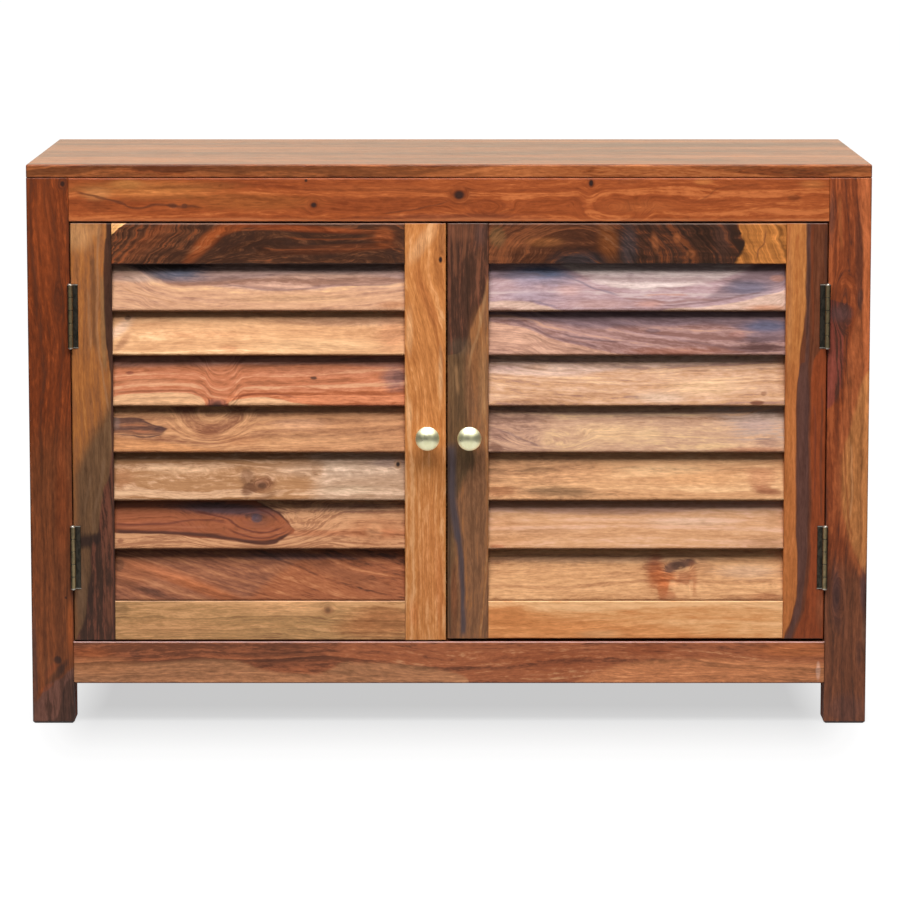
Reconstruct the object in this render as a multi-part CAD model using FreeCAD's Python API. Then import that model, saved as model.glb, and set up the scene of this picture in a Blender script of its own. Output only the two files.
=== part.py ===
import FreeCAD, Part
import math
import os

from FreeCAD import Vector

# A free-standing cabinet in solid hardwood: four legs joined by rails, panelled sides and back,
# a flush top, and two louvred doors on brass butt hinges.
# X runs along the width, Y from the front to the back, and Z up. All sizes are in millimetres.
# Pieces are drawn with y = 0 on the front faces of the legs, and moved to the origin at the end.

# ---- The case ----
width = 1000.0
depth = 450.0
height = 672.0
top_thick = 16.0
top_arris = 1.2            # chamfer round the top board
leg_wide = 50.0
leg_deep = 45.0
foot_chamfer = 2.5
foot_clear = 49.0          # from the floor to the underside of the bottom rails
top_rail_high = 52.0
bottom_rail_high = 50.5
front_rail_thick = 24.0
side_rail_thick = 22.0
arris = 0.9                # chamfer on the long edges of every board
panel_thick = 10.0
panel_set_in = 6.0         # from the outer face of a rail to the face of its panel
groove = 7.0               # how far a panel goes into the rails and legs round it
tenon_thick = 10.0
tenon_long = 20.0
tenon_shoulder = 8.0       # step above and below a tenon
bottom_board_thick = 15.0
bottom_board_drop = 18.0   # from the top of the bottom rails down to the board
shelf_thick = 15.0
shelf_set_in = 42.0        # from the front of the case to the front of the shelf
shelf_play = 1.5           # room at the ends and the back of the shelf
shelf_high = 332.0         # from the floor to the top of the shelf
cleat_high = 22.0
cleat_thick = 18.0
cleat_set_in = 30.0        # from the front of the case to the end of a cleat
batten_thick = 16.0
batten_high = 66.0
batten_below_rail = 20.0   # how far the door stop hangs below the front top rail

# ---- The doors ----
door_thick = 22.0
door_set_back = 1.0        # door face behind the face of the legs
hinge_gap = 1.2
meeting_gap = 1.8
door_top_gap = 1.8
door_bottom_gap = 1.8
right_door_trim = 1.8      # planed off the bottom of the right door when it was hung
meeting_offset = 2.7       # the doors meet this far to the left of the middle
stile_wide = 49.0
door_top_rail_high = 48.6
door_bottom_rail_high = 47.6
door_tenon_long = 28.0
door_tenon_thick = 8.0

# ---- The louvres ----
slat_thick = 7.0
slat_tilt = 12.0           # degrees from upright
slat_overlap = 9.0         # how far each slat reaches up behind the one above it
slat_set_back = 0.5        # lower front edge of a slat behind the face of the stiles
slat_arris = 1.2
slat_tenon_long = 8.0
slat_tenon_thick = 4.0
slat_tenon_shoulder = 7.0
# Set by hand: how far each slat stands above even spacing, from the top slat to the bottom one.
slat_rise = (2.0, 7.0, 4.0, 6.0, 6.0, 5.0, 0.0)

# ---- The butt hinges, two to a door ----
hinge_long = 76.0
upper_hinge_inset = 110.5  # door top to the middle of the upper hinge
lower_hinge_inset = 100.5  # door bottom to the middle of the lower hinge
knuckle_count = 5
knuckle_gap = 0.3
barrel_radius = 3.1
pin_radius = 1.5
pin_play = 0.05
pin_cap_radius = 2.3
pin_cap_high = 0.8
swing_gap = 0.35           # between the barrel and everything that turns round it
leaf_thick = 1.6
leaf_gap = 0.2             # between the closed leaves
leaf_deep = 16.0
lip_wide = 9.0             # strip of the door leaf that laps onto the face of the door
lip_thick = 1.5
lip_proud = 0.8
lip_arris = 0.6
leaf_play = 0.1            # round a leaf in its recess

# Small round pieces have this many flats.
barrel_sides = 20
pin_sides = 12
screw_sides = 8
knob_sides = 36

# ---- Screws ----
screw_radius = 1.5
screw_head_radius = 2.9
screw_head_high = 1.3
screw_long = 15.0
screw_tip = 3.0
screw_point_radius = 0.3
screw_pitch = 25.0         # between the screws in a leaf
screw_play = 0.1
cleat_screw_long = 34.0

# ---- Knobs and catches ----
knob_radius = 14.25
knob_long = 28.5
knob_rim_at = 20.4         # from the door face to the back of the knob's rim
knob_rim_thick = 2.0
knob_rim_step = 0.5
knob_neck_radius = 5.0
knob_base_radius = 8.5
knob_base_thick = 2.0
knob_base_step = 1.2
left_knob_inset = 22.0     # meeting edge to the knob, left door
right_knob_inset = 26.0
knob_drop = 4.0            # below the middle of the door
knob_neck_steps = 6
knob_dome_steps = 7
knob_tip_radius = 0.6
knob_screw_radius = 2.0
knob_screw_head_radius = 4.0
knob_screw_head_high = 2.6
knob_screw_grip = 9.0      # length of screw inside the knob
knob_screw_play = 0.15
catch_drop = 9.0           # door top to the middle of the catch
catch_inset = 26.0         # meeting edge to the middle of the catch
magnet_radius = 5.0
magnet_long = 12.0
strike_radius = 6.5
strike_thick = 0.8
strike_pin_radius = 1.2
strike_pin_long = 6.0

# ---- Places worked out from the sizes above ----
half_width = width / 2
clear_half = half_width - leg_wide            # inner faces of the legs
leg_top = height - top_thick
opening_top = leg_top - top_rail_high
opening_bottom = foot_clear + bottom_rail_high
door_face = door_set_back
door_back = door_face + door_thick
door_top = opening_top - door_top_gap
door_bottom = opening_bottom + door_bottom_gap
louvre_top = door_top - door_top_rail_high
louvre_bottom = door_bottom + door_bottom_rail_high
axis_x = -clear_half + hinge_gap / 2
axis_y = -math.sqrt((barrel_radius + swing_gap) ** 2 - (hinge_gap / 2) ** 2)
back_panel_y = (depth - panel_set_in - panel_thick, depth - panel_set_in)
shelf_under = shelf_high - shelf_thick
batten_y = (front_rail_thick, front_rail_thick + batten_thick)
hinge_heights = (door_top - upper_hinge_inset, door_bottom + lower_hinge_inset)

ALONG_X = Vector(1, 0, 0)
ALONG_Y = Vector(0, 1, 0)
ALONG_Z = Vector(0, 0, 1)


def block(x, y, z):
    """A rectangular board between two limits along each axis."""
    size = (x[1] - x[0], y[1] - y[0], z[1] - z[0])
    return Part.makeBox(*size, Vector(x[0], y[0], z[0]))


def eased(board, along, size=arris):
    """The board with a small chamfer on every edge that runs along one axis."""
    edges = []
    for edge in board.Edges:
        if abs(edge.tangentAt(edge.FirstParameter).dot(along)) > 0.999:
            edges.append(edge)
    return board.makeChamfer(size, edges)


def mirrored(shape):
    """The same piece on the right-hand side of the cabinet."""
    return shape.mirror(Vector(0, 0, 0), ALONG_X)


def turned(outline, sides, start, along):
    """A piece turned on a lathe, as rings of flats: radii and distances along its axis."""
    rings = []
    for radius, distance in outline:
        ring = []
        for side in range(sides):
            angle = 2 * math.pi * (side + 0.5) / sides
            ring.append(Vector(radius * math.cos(angle), radius * math.sin(angle), distance))
        rings.append(ring)
    faces = [Part.Face(Part.makePolygon(ring + ring[:1])) for ring in (rings[0], rings[-1])]
    for low, high in zip(rings, rings[1:]):
        for side in range(sides):
            after = (side + 1) % sides
            corners = [low[side], low[after], high[after], high[side]]
            faces.append(Part.Face(Part.makePolygon(corners + corners[:1])))
    solid = Part.makeSolid(Part.makeShell(faces))
    solid.fix(0.001, 0.001, 0.001)
    solid.Placement = FreeCAD.Placement(start, FreeCAD.Rotation(ALONG_Z, along))
    return solid


def rod(radius, length, sides, start, along):
    """A plain round bar."""
    return turned([(radius, 0), (radius, length)], sides, start, along)


def around(radius, sides):
    """The radius to the corners of a ring of flats that clears a circle of the given radius."""
    return radius / math.cos(math.pi / sides)


# ---------------------------------------------------------------- the case


def rail_between(x, y, z, tenon_axis, tenon_y_or_x):
    """A rail between two shoulders, with a stub tenon on each end."""
    rail = eased(block(x, y, z), tenon_axis)
    tenon_z = (z[0] + tenon_shoulder, z[1] - tenon_shoulder)
    if tenon_axis is ALONG_X:
        tenons = block((x[0] - tenon_long, x[1] + tenon_long), tenon_y_or_x, tenon_z)
    else:
        tenons = block(tenon_y_or_x, (y[0] - tenon_long, y[1] + tenon_long), tenon_z)
    return rail.fuse(tenons).removeSplitter()


def middle_strip(span, thick):
    """A strip of the given thickness in the middle of a span."""
    centre = (span[0] + span[1]) / 2
    return (centre - thick / 2, centre + thick / 2)


def rectangle(x, y, z):
    """A closed rectangular outline at one height."""
    corners = [Vector(x[0], y[0], z), Vector(x[1], y[0], z), Vector(x[1], y[1], z), Vector(x[0], y[1], z)]
    return Part.makePolygon(corners + corners[:1])


def leg_blank(front):
    """The left leg at the front or the back, before its joints are cut."""
    x = (-half_width, -clear_half)
    y = (0, leg_deep) if front else (depth - leg_deep, depth)
    leg = eased(block(x, y, (0, leg_top)), ALONG_Z)
    sole_x = (x[0] + foot_chamfer, x[1] - foot_chamfer)
    sole_y = (y[0] + foot_chamfer, y[1] - foot_chamfer)
    foot = Part.makeLoft([rectangle(sole_x, sole_y, 0), rectangle(x, y, foot_chamfer)], True, True)
    above = block(x, y, (foot_chamfer, leg_top))
    return leg.common(foot.fuse(above)).removeSplitter()


def make_case():
    """Everything that stands still, apart from the leg halves of the hinges."""
    across = (-clear_half, clear_half)
    along_side = (leg_deep, depth - leg_deep)
    top_z = (opening_top, leg_top)
    bottom_z = (foot_clear, opening_bottom)
    front_y = (0, front_rail_thick)
    rear_y = (depth - side_rail_thick, depth)
    side_x = (-half_width, -half_width + side_rail_thick)
    front_tenon = middle_strip(front_y, tenon_thick)
    rear_tenon = middle_strip(rear_y, tenon_thick)
    side_tenon = (-half_width + tenon_shoulder, -half_width + tenon_shoulder + tenon_thick)

    case = {}
    top = block((-half_width, half_width), (0, depth), (leg_top, height))
    case["top_board"] = top.makeChamfer(top_arris, top.Edges)

    # Panels run into the grooves of the rails and legs round them.
    panel_x = (-half_width + panel_set_in, -half_width + panel_set_in + panel_thick)
    panel_y = (along_side[0] - groove, along_side[1] + groove)
    panel_z = (opening_bottom - groove, opening_top + groove)
    side_panel = block(panel_x, panel_y, panel_z)
    back_x = (across[0] - groove, across[1] + groove)
    case["back_panel"] = block(back_x, back_panel_y, panel_z)

    board_x = half_width - side_rail_thick + groove
    board_y = (front_rail_thick - groove, depth - side_rail_thick + groove)
    board_top = opening_bottom - bottom_board_drop
    bottom_board = block((-board_x, board_x), board_y, (board_top - bottom_board_thick, board_top))
    for y in ((0, leg_deep), (depth - leg_deep, depth)):
        corner = block((-half_width, -clear_half), y, (0, leg_top))
        bottom_board = bottom_board.cut([corner, mirrored(corner)])
    case["bottom_board"] = bottom_board

    front_top = rail_between(across, front_y, top_z, ALONG_X, front_tenon)
    front_bottom = rail_between(across, front_y, bottom_z, ALONG_X, front_tenon)
    rear_top = rail_between(across, rear_y, top_z, ALONG_X, rear_tenon)
    rear_bottom = rail_between(across, rear_y, bottom_z, ALONG_X, rear_tenon)
    case["front_top_rail"] = front_top
    case["front_bottom_rail"] = front_bottom.cut(bottom_board)
    case["rear_top_rail"] = rear_top.cut(case["back_panel"])
    case["rear_bottom_rail"] = rear_bottom.cut([case["back_panel"], bottom_board])

    side_top = rail_between(side_x, along_side, top_z, ALONG_Y, side_tenon)
    side_bottom = rail_between(side_x, along_side, bottom_z, ALONG_Y, side_tenon)
    side_top = side_top.cut(side_panel)
    side_bottom = side_bottom.cut([side_panel, bottom_board])
    for side, place in (("left", lambda shape: shape), ("right", mirrored)):
        case[side + "_side_panel"] = place(side_panel)
        case[side + "_top_side_rail"] = place(side_top)
        case[side + "_bottom_side_rail"] = place(side_bottom)

    # The mortises and grooves in the legs have the shape of what goes into them.
    joints = [front_top, front_bottom, rear_top, rear_bottom, side_top, side_bottom]
    joints += [side_panel, case["back_panel"]]
    for end, is_front in (("front", True), ("rear", False)):
        leg = leg_blank(is_front).cut(joints)
        case[end + "_left_leg"] = leg
        case[end + "_right_leg"] = mirrored(leg)
    return case


def add_shelf(case):
    """A loose shelf on two cleats that are screwed to the legs."""
    shelf_x = clear_half - shelf_play
    shelf_y = (shelf_set_in, back_panel_y[0] - shelf_play)
    shelf = block((-shelf_x, shelf_x), shelf_y, (shelf_under, shelf_high))
    case["shelf"] = eased(shelf, ALONG_X)

    cleat_x = (-clear_half, -clear_half + cleat_thick)
    cleat_y = (cleat_set_in, depth - cleat_set_in)
    cleat = eased(block(cleat_x, cleat_y, (shelf_under - cleat_high, shelf_under)), ALONG_Y)
    screws = []
    for y in ((cleat_set_in + leg_deep) / 2, depth - (cleat_set_in + leg_deep) / 2):
        head = Vector(cleat_x[1], y, shelf_under - cleat_high / 2)
        screws.append(wood_screw(head, -ALONG_X, cleat_screw_long))
        hole = screw_hole(head, -ALONG_X, cleat_screw_long)
        cleat = cleat.cut(hole)
        for leg in ("front_left_leg", "rear_left_leg"):
            case[leg] = case[leg].cut(hole)
        for leg in ("front_right_leg", "rear_right_leg"):
            case[leg] = case[leg].cut(mirrored(hole))
    case["left_shelf_cleat"] = cleat
    case["right_shelf_cleat"] = mirrored(cleat)
    case["cleat_screws"] = Part.makeCompound(screws + [mirrored(screw) for screw in screws])


def add_door_stop(case, catch_places):
    """The batten behind the top rail that the doors close against, with a magnet for each door."""
    z = (opening_top - batten_below_rail, opening_top - batten_below_rail + batten_high)
    inner_half = clear_half - shelf_play
    batten = eased(block((-inner_half, inner_half), batten_y, z), ALONG_X)
    magnets = []
    for x in catch_places:
        middle = Vector(x, batten_y[0], door_top - catch_drop)
        magnet = rod(magnet_radius, magnet_long, barrel_sides, middle, ALONG_Y)
        magnets.append(magnet)
        batten = batten.cut(magnet)
    case["door_stop_batten"] = batten
    case["catch_magnets"] = Part.makeCompound(magnets)


# ---------------------------------------------------------------- screws and hinges


def wood_screw(head, along, length):
    """A countersunk screw whose head lies in the surface at the head point."""
    outline = [(screw_head_radius, 0), (screw_radius, screw_head_high)]
    outline += [(screw_radius, length - screw_tip), (screw_point_radius, length)]
    return turned(outline, screw_sides, head, along)


def screw_hole(head, along, length):
    """Clearance for a screw: its countersink and its pilot hole."""
    wide = screw_head_radius + screw_play
    narrow = screw_radius + screw_play
    outline = [(wide, 0), (narrow, screw_head_high), (narrow, length)]
    return turned(outline, screw_sides, head, along)


def knuckle_span(index, middle):
    """The lowest and highest point of one knuckle, counted from the bottom of the barrel."""
    step = hinge_long / knuckle_count
    low = middle - hinge_long / 2 + index * step
    trim_low = knuckle_gap / 2 if index > 0 else 0
    trim_high = knuckle_gap / 2 if index < knuckle_count - 1 else 0
    return (low + trim_low, low + step - trim_high)


def on_axis(radius, span, sides=barrel_sides):
    """A round bar on the hinge's axis between two heights."""
    return rod(radius, span[1] - span[0], sides, Vector(axis_x, axis_y, span[0]), ALONG_Z)


def leaf_with_knuckles(plate, middle, own):
    """A hinge leaf: its plate, its own knuckles, and room for the other leaf's knuckles."""
    bore_radius = around(pin_radius + pin_play, pin_sides)
    room_radius = around(barrel_radius + swing_gap, barrel_sides)
    bore = on_axis(bore_radius, (middle - hinge_long, middle + hinge_long), pin_sides)
    for index in range(knuckle_count):
        low, high = knuckle_span(index, middle)
        if index % 2 == own:
            plate = plate.fuse(on_axis(barrel_radius, (low, high)))
        else:
            room = (low - knuckle_gap, high + knuckle_gap)
            plate = plate.cut(on_axis(room_radius, room))
    return plate.cut(bore).removeSplitter()


def make_hinge(middle):
    """One butt hinge on the left side, and what has to be cut out of the leg and the stile."""
    z = (middle - hinge_long / 2, middle + hinge_long / 2)
    loose_z = (z[0] - leaf_play, z[1] + leaf_play)
    leg_x = (axis_x - leaf_gap / 2 - leaf_thick, axis_x - leaf_gap / 2)
    door_x = (axis_x + leaf_gap / 2, axis_x + leaf_gap / 2 + leaf_thick)
    lip_x = (door_x[0], door_x[0] + lip_wide)
    lip_y = (door_face - lip_proud, door_face - lip_proud + lip_thick)
    door_edge = -clear_half + hinge_gap

    lip = block(lip_x, lip_y, z)
    outer_edges = []
    for edge in lip.Edges:
        box = edge.BoundBox
        if box.XMin > lip_x[1] - 0.001 and box.YMax < lip_y[0] + 0.001:
            outer_edges.append(edge)
    lip = lip.makeChamfer(lip_arris, outer_edges)
    leg_leaf = leaf_with_knuckles(block(leg_x, (axis_y, leaf_deep), z), middle, 0)
    door_plate = block(door_x, (axis_y, leaf_deep), z).fuse(lip)
    door_leaf = leaf_with_knuckles(door_plate, middle, 1)

    leg_cuts = [block((leg_x[0], -clear_half), (-arris, leaf_deep + leaf_play), loose_z)]
    stile_cuts = [block((door_edge, door_x[1]), (0, leaf_deep + leaf_play), loose_z)]
    lip_room = (door_edge, lip_x[1] + leaf_play)
    stile_cuts.append(block(lip_room, (0, lip_y[1]), loose_z))

    leg_screws = []
    door_screws = []
    screw_y = (leaf_deep + door_face) / 2
    for step in (-1, 0, 1):
        leg_head = Vector(leg_x[1], screw_y, middle + step * screw_pitch)
        door_head = Vector(door_x[0], screw_y, middle + step * screw_pitch)
        leg_screws.append(wood_screw(leg_head, -ALONG_X, screw_long))
        door_screws.append(wood_screw(door_head, ALONG_X, screw_long))
        leg_hole = screw_hole(leg_head, -ALONG_X, screw_long)
        door_hole = screw_hole(door_head, ALONG_X, screw_long)
        leg_leaf = leg_leaf.cut(leg_hole)
        door_leaf = door_leaf.cut(door_hole)
        leg_cuts.append(leg_hole)
        stile_cuts.append(door_hole)

    cap_edge = pin_cap_radius - pin_cap_high / 2
    length = hinge_long + 2 * pin_cap_high
    outline = [(cap_edge, 0), (pin_cap_radius, pin_cap_high / 2), (pin_cap_radius, pin_cap_high)]
    outline += [(pin_radius, pin_cap_high), (pin_radius, length - pin_cap_high)]
    outline += [(radius, length - distance) for radius, distance in reversed(outline[:3])]
    pin = turned(outline, pin_sides, Vector(axis_x, axis_y, z[0] - pin_cap_high), ALONG_Z)
    return {"leg_leaf": leg_leaf, "door_leaf": door_leaf, "pin": pin, "leg_screws": leg_screws,
            "door_screws": door_screws, "leg_cuts": leg_cuts, "stile_cuts": stile_cuts}


# ---------------------------------------------------------------- doors


def slat_outline():
    """The sloping section of a slat, from its lower front edge, as y and z distances."""
    slope = math.radians(slat_tilt)
    pitch = (louvre_top - louvre_bottom) / len(slat_rise)
    length = (pitch + slat_overlap) / math.cos(slope)
    up = Vector(0, math.sin(slope), math.cos(slope))
    back = Vector(0, math.cos(slope), -math.sin(slope))
    return pitch, length, up, back


def sloping_board(x, corner, length, thick, up, back):
    """A board across the door whose section starts at the corner and leans back."""
    points = [corner, corner + up * length, corner + up * length + back * thick,
              corner + back * thick]
    section = []
    for point in points:
        section.append(Vector(x[0], point.y, point.z))
    face = Part.Face(Part.makePolygon(section + section[:1]))
    return face.extrude(Vector(x[1] - x[0], 0, 0))


def make_slats(inner_x):
    """The slats, top one first, each with a tenon on both ends."""
    pitch, length, up, back = slat_outline()
    opening = block((inner_x[0] - slat_tenon_long, inner_x[1] + slat_tenon_long),
                    (door_face, door_back), (louvre_bottom, louvre_top))
    tenon_x = (inner_x[0] - slat_tenon_long, inner_x[1] + slat_tenon_long)
    tenon_from = up * slat_tenon_shoulder + back * ((slat_thick - slat_tenon_thick) / 2)
    tenon_length = length - 2 * slat_tenon_shoulder
    slats = []
    for index, rise in enumerate(slat_rise):
        low = louvre_top - (index + 1) * pitch + rise
        corner = Vector(0, door_face + slat_set_back, low)
        board = sloping_board(inner_x, corner, length, slat_thick, up, back)
        board = eased(board, ALONG_X, slat_arris)
        tenon = sloping_board(tenon_x, corner + tenon_from, tenon_length, slat_tenon_thick, up, back)
        slats.append(board.fuse(tenon).common(opening).removeSplitter())
    return slats


def knob_outline():
    """Radii and distances from the door face: base, waisted neck, rim, and a dome."""
    rim_front = knob_rim_at + knob_rim_thick
    outline = [(knob_base_radius, 0), (knob_base_radius, knob_base_thick)]
    for step in range(knob_neck_steps + 1):
        share = step / knob_neck_steps
        end_radius = knob_base_radius - knob_base_step if share < 0.5 else knob_radius
        radius = knob_neck_radius + (end_radius - knob_neck_radius) * (2 * share - 1) ** 2
        outline.append((radius, knob_base_thick + share * (knob_rim_at - knob_base_thick)))
    outline.append((knob_radius, rim_front))
    dome_radius = knob_radius - knob_rim_step
    dome_high = knob_long - rim_front
    sphere = (dome_radius ** 2 + dome_high ** 2) / (2 * dome_high)
    edge_angle = math.asin(dome_radius / sphere)
    for step in range(knob_dome_steps):
        angle = edge_angle * (1 - step / knob_dome_steps)
        outline.append((sphere * math.sin(angle), knob_long - sphere * (1 - math.cos(angle))))
    outline.append((knob_tip_radius, knob_long))
    return outline


def make_knob(x, z):
    """A turned brass knob on the door face, bored from behind for its screw."""
    seat = Vector(x, door_face, z)
    knob = turned(knob_outline(), knob_sides, seat, -ALONG_Y)
    bore = rod(knob_screw_radius + pin_play, knob_screw_grip + 1, screw_sides, seat, -ALONG_Y)
    return knob.cut(bore)


def make_knob_screw(x, z, play):
    """The machine screw that comes through the stile from behind and holds the knob."""
    shank_radius = knob_screw_radius + play
    head_radius = knob_screw_head_radius + play
    outline = [(head_radius, 0), (head_radius, knob_screw_head_high)]
    outline += [(shank_radius, knob_screw_head_high), (shank_radius, door_thick + knob_screw_grip)]
    return turned(outline, screw_sides, Vector(x, door_back, z), -ALONG_Y)


def make_strike(x, z):
    """A steel disc on a short pin, tapped into the back of the stile to meet the magnet."""
    outline = [(strike_radius, 0), (strike_radius, strike_thick), (strike_pin_radius, strike_thick)]
    outline.append((strike_pin_radius, strike_thick + strike_pin_long))
    return turned(outline, barrel_sides, Vector(x, door_back + strike_thick, z), -ALONG_Y)


def make_door(door_width, trim, knob_inset, hinges):
    """A louvred door hung on the left side. The right door is the mirror image of such a door."""
    hinge_edge = -clear_half + hinge_gap
    meeting_edge = hinge_edge + door_width
    inner_x = (hinge_edge + stile_wide, meeting_edge - stile_wide)
    y = (door_face, door_back)
    bottom = door_bottom + trim
    tenon_y = middle_strip(y, door_tenon_thick)
    tenon_x = (inner_x[0] - door_tenon_long, inner_x[1] + door_tenon_long)

    hinge_stile = eased(block((hinge_edge, inner_x[0]), y, (bottom, door_top)), ALONG_Z)
    meeting_stile = eased(block((inner_x[1], meeting_edge), y, (bottom, door_top)), ALONG_Z)
    rails = {}
    for name, z in (("top_rail", (louvre_top, door_top)), ("bottom_rail", (bottom, louvre_bottom))):
        tenon_z = (z[0] + tenon_shoulder, z[1] - tenon_shoulder)
        rail = eased(block(inner_x, y, z), ALONG_X)
        rails[name] = rail.fuse(block(tenon_x, tenon_y, tenon_z)).removeSplitter()

    slats = make_slats(inner_x)
    housings = list(rails.values()) + slats
    hinge_stile = hinge_stile.cut(housings)
    meeting_stile = meeting_stile.cut(housings)
    for hinge in hinges:
        hinge_stile = hinge_stile.cut(hinge["stile_cuts"])

    knob_x = meeting_edge - knob_inset
    knob_z = (door_top + door_bottom) / 2 - knob_drop
    strike = make_strike(meeting_edge - catch_inset, door_top - catch_drop)
    meeting_stile = meeting_stile.cut([make_knob_screw(knob_x, knob_z, knob_screw_play), strike])

    door = {"hinge_stile": hinge_stile, "meeting_stile": meeting_stile,
            "door_top_rail": rails["top_rail"], "door_bottom_rail": rails["bottom_rail"],
            "knob": make_knob(knob_x, knob_z), "knob_screw": make_knob_screw(knob_x, knob_z, 0),
            "strike": strike}
    for number, slat in enumerate(slats, 1):
        door["slat_" + str(number)] = slat
    door["door_leaves"] = Part.makeCompound([hinge["door_leaf"] for hinge in hinges])
    screws = []
    for hinge in hinges:
        screws += hinge["door_screws"]
    door["door_leaf_screws"] = Part.makeCompound(screws)
    return door


def make_cabinet():
    """Every piece by name, drawn from the front faces of the legs."""
    hinges = [make_hinge(middle) for middle in hinge_heights]
    case = make_case()
    add_shelf(case)
    both_doors = 2 * clear_half - 2 * hinge_gap - meeting_gap
    left_width = both_doors / 2 - meeting_offset
    right_width = both_doors / 2 + meeting_offset
    door_start = -clear_half + hinge_gap
    left_catch = door_start + left_width - catch_inset
    right_catch = -(door_start + right_width - catch_inset)
    add_door_stop(case, (left_catch, right_catch))

    leg_screws = []
    pins = []
    for hinge in hinges:
        leg_screws += hinge["leg_screws"]
        pins.append(hinge["pin"])
        cuts = hinge["leg_cuts"]
        case["front_left_leg"] = case["front_left_leg"].cut(cuts)
        case["front_right_leg"] = case["front_right_leg"].cut([mirrored(cut) for cut in cuts])
    leaves = [hinge["leg_leaf"] for hinge in hinges]
    case["left_leg_leaves"] = Part.makeCompound(leaves)
    case["right_leg_leaves"] = Part.makeCompound([mirrored(leaf) for leaf in leaves])
    case["hinge_pins"] = Part.makeCompound(pins + [mirrored(pin) for pin in pins])
    case["leg_leaf_screws"] = Part.makeCompound(leg_screws + [mirrored(s) for s in leg_screws])

    for name, shape in make_door(left_width, 0, left_knob_inset, hinges).items():
        case["left_" + name] = shape
    for name, shape in make_door(right_width, right_door_trim, right_knob_inset, hinges).items():
        case["right_" + name] = mirrored(shape)
    return case


def export(pieces):
    """Move the pieces so that the origin is on the floor under the middle, and write them."""
    front_reach = max(knob_long - door_face, barrel_radius - axis_y)
    to_origin = Vector(0, (front_reach - depth) / 2, 0)
    os.makedirs("parts", exist_ok=True)
    for name, shape in sorted(pieces.items()):
        shape.translate(to_origin)
        if not shape.isValid() or not shape.Solids or shape.Volume <= 0:
            raise ValueError(name + " is not a sound solid")
        shape.exportStep("parts/" + name + ".step")
    print(len(pieces), "pieces; the front faces of the legs lie at y =", round(to_origin.y, 3))
    print("hinge axes at x = +/-", round(-axis_x, 4), "y =", round(axis_y + to_origin.y, 4))


export(make_cabinet())
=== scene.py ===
# %% [markdown]
# # A louvred cabinet in sheesham
# This lesson dresses a small two-door cabinet. The wooden boards, hinges and screws arrive at
# their real sizes. The work left for Blender is the finish of every board, the turned brass
# knobs, and a plain studio to show them in.

import math
from types import SimpleNamespace

import bmesh
import bpy
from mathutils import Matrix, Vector


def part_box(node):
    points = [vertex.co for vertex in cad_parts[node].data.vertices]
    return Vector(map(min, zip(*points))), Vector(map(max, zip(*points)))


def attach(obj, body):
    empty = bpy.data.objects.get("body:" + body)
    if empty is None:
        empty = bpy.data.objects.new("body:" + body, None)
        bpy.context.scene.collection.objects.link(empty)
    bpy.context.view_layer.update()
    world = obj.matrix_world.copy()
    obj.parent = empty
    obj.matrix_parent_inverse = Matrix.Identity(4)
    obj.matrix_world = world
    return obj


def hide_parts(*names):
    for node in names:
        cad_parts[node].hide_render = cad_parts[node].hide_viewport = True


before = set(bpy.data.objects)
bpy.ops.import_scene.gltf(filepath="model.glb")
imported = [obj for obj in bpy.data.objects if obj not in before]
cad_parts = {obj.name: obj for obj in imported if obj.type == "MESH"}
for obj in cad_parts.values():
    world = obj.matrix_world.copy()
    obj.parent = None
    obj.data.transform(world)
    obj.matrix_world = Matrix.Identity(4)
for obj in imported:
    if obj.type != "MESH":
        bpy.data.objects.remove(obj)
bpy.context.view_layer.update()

# %% [markdown]
# ## Where things are
# Every board is measured from the case itself. The front faces of the legs lie in one plane,
# and most of what follows is placed from that plane and from the middle of the width.

# %% Measure the case
mm = 0.001
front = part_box("front_left_leg")[0].y
print("front plane at y =", round(front, 4))

# %% [markdown]
# ## The camera
# The cabinet is seen square on from a little above, through a long lens, so its sides stay
# nearly parallel. The camera is tilted down rather than shifted, which keeps the lens plain.

# %% Set up the camera
camera_right = 0.0012
camera_distance = 5.2021
camera_height = 1.0475
camera_tilt = math.radians(7.836)

camera_data = bpy.data.cameras.new("camera")
camera_data.lens = 176.25
camera_data.sensor_width = 36
camera_data.clip_end = 100
camera = bpy.data.objects.new("camera", camera_data)
camera.location = (camera_right, front - camera_distance, camera_height)
camera.rotation_euler = (math.radians(90) - camera_tilt, 0, 0)
bpy.context.collection.objects.link(camera)
bpy.context.scene.camera = camera
print("camera", round(camera_distance, 2), "m in front, tilted down", round(math.degrees(camera_tilt), 1))

# %% [markdown]
# ## Node trees
# Every finish here is a node tree. A few helpers keep them short. The first adds a node and
# fills its sockets, and the second starts a material that has nothing but a shader and an
# output. The others each give the result of one node: arithmetic, a range mapped onto another,
# and mixes of two values or two colours.

# %% Helpers for node trees


def node(tree, kind, inputs=None, **settings):
    """Add a node, set its properties, and fill its sockets with values or links."""
    made = tree.nodes.new(kind)
    for name, value in settings.items():
        setattr(made, name, value)
    for name, value in (inputs or {}).items():
        if isinstance(value, bpy.types.NodeSocket):
            tree.links.new(value, made.inputs[name])
        else:
            made.inputs[name].default_value = value
    return made


def new_material(name):
    """An empty material with its output node and a principled shader."""
    material = bpy.data.materials.new(name)
    material.use_nodes = True
    tree = material.node_tree
    tree.nodes.clear()
    shader = node(tree, "ShaderNodeBsdfPrincipled")
    node(tree, "ShaderNodeOutputMaterial", {"Surface": shader.outputs["BSDF"]})
    return material, tree, shader


def maths(tree, operation, first, second=0.0, third=0.0):
    """One Math node's result."""
    return node(tree, "ShaderNodeMath", {0: first, 1: second, 2: third}, operation=operation).outputs[0]


def vector(tree, operation, *inputs):
    """One Vector Math node's result."""
    return node(tree, "ShaderNodeVectorMath", dict(enumerate(inputs)), operation=operation).outputs[0]


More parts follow.
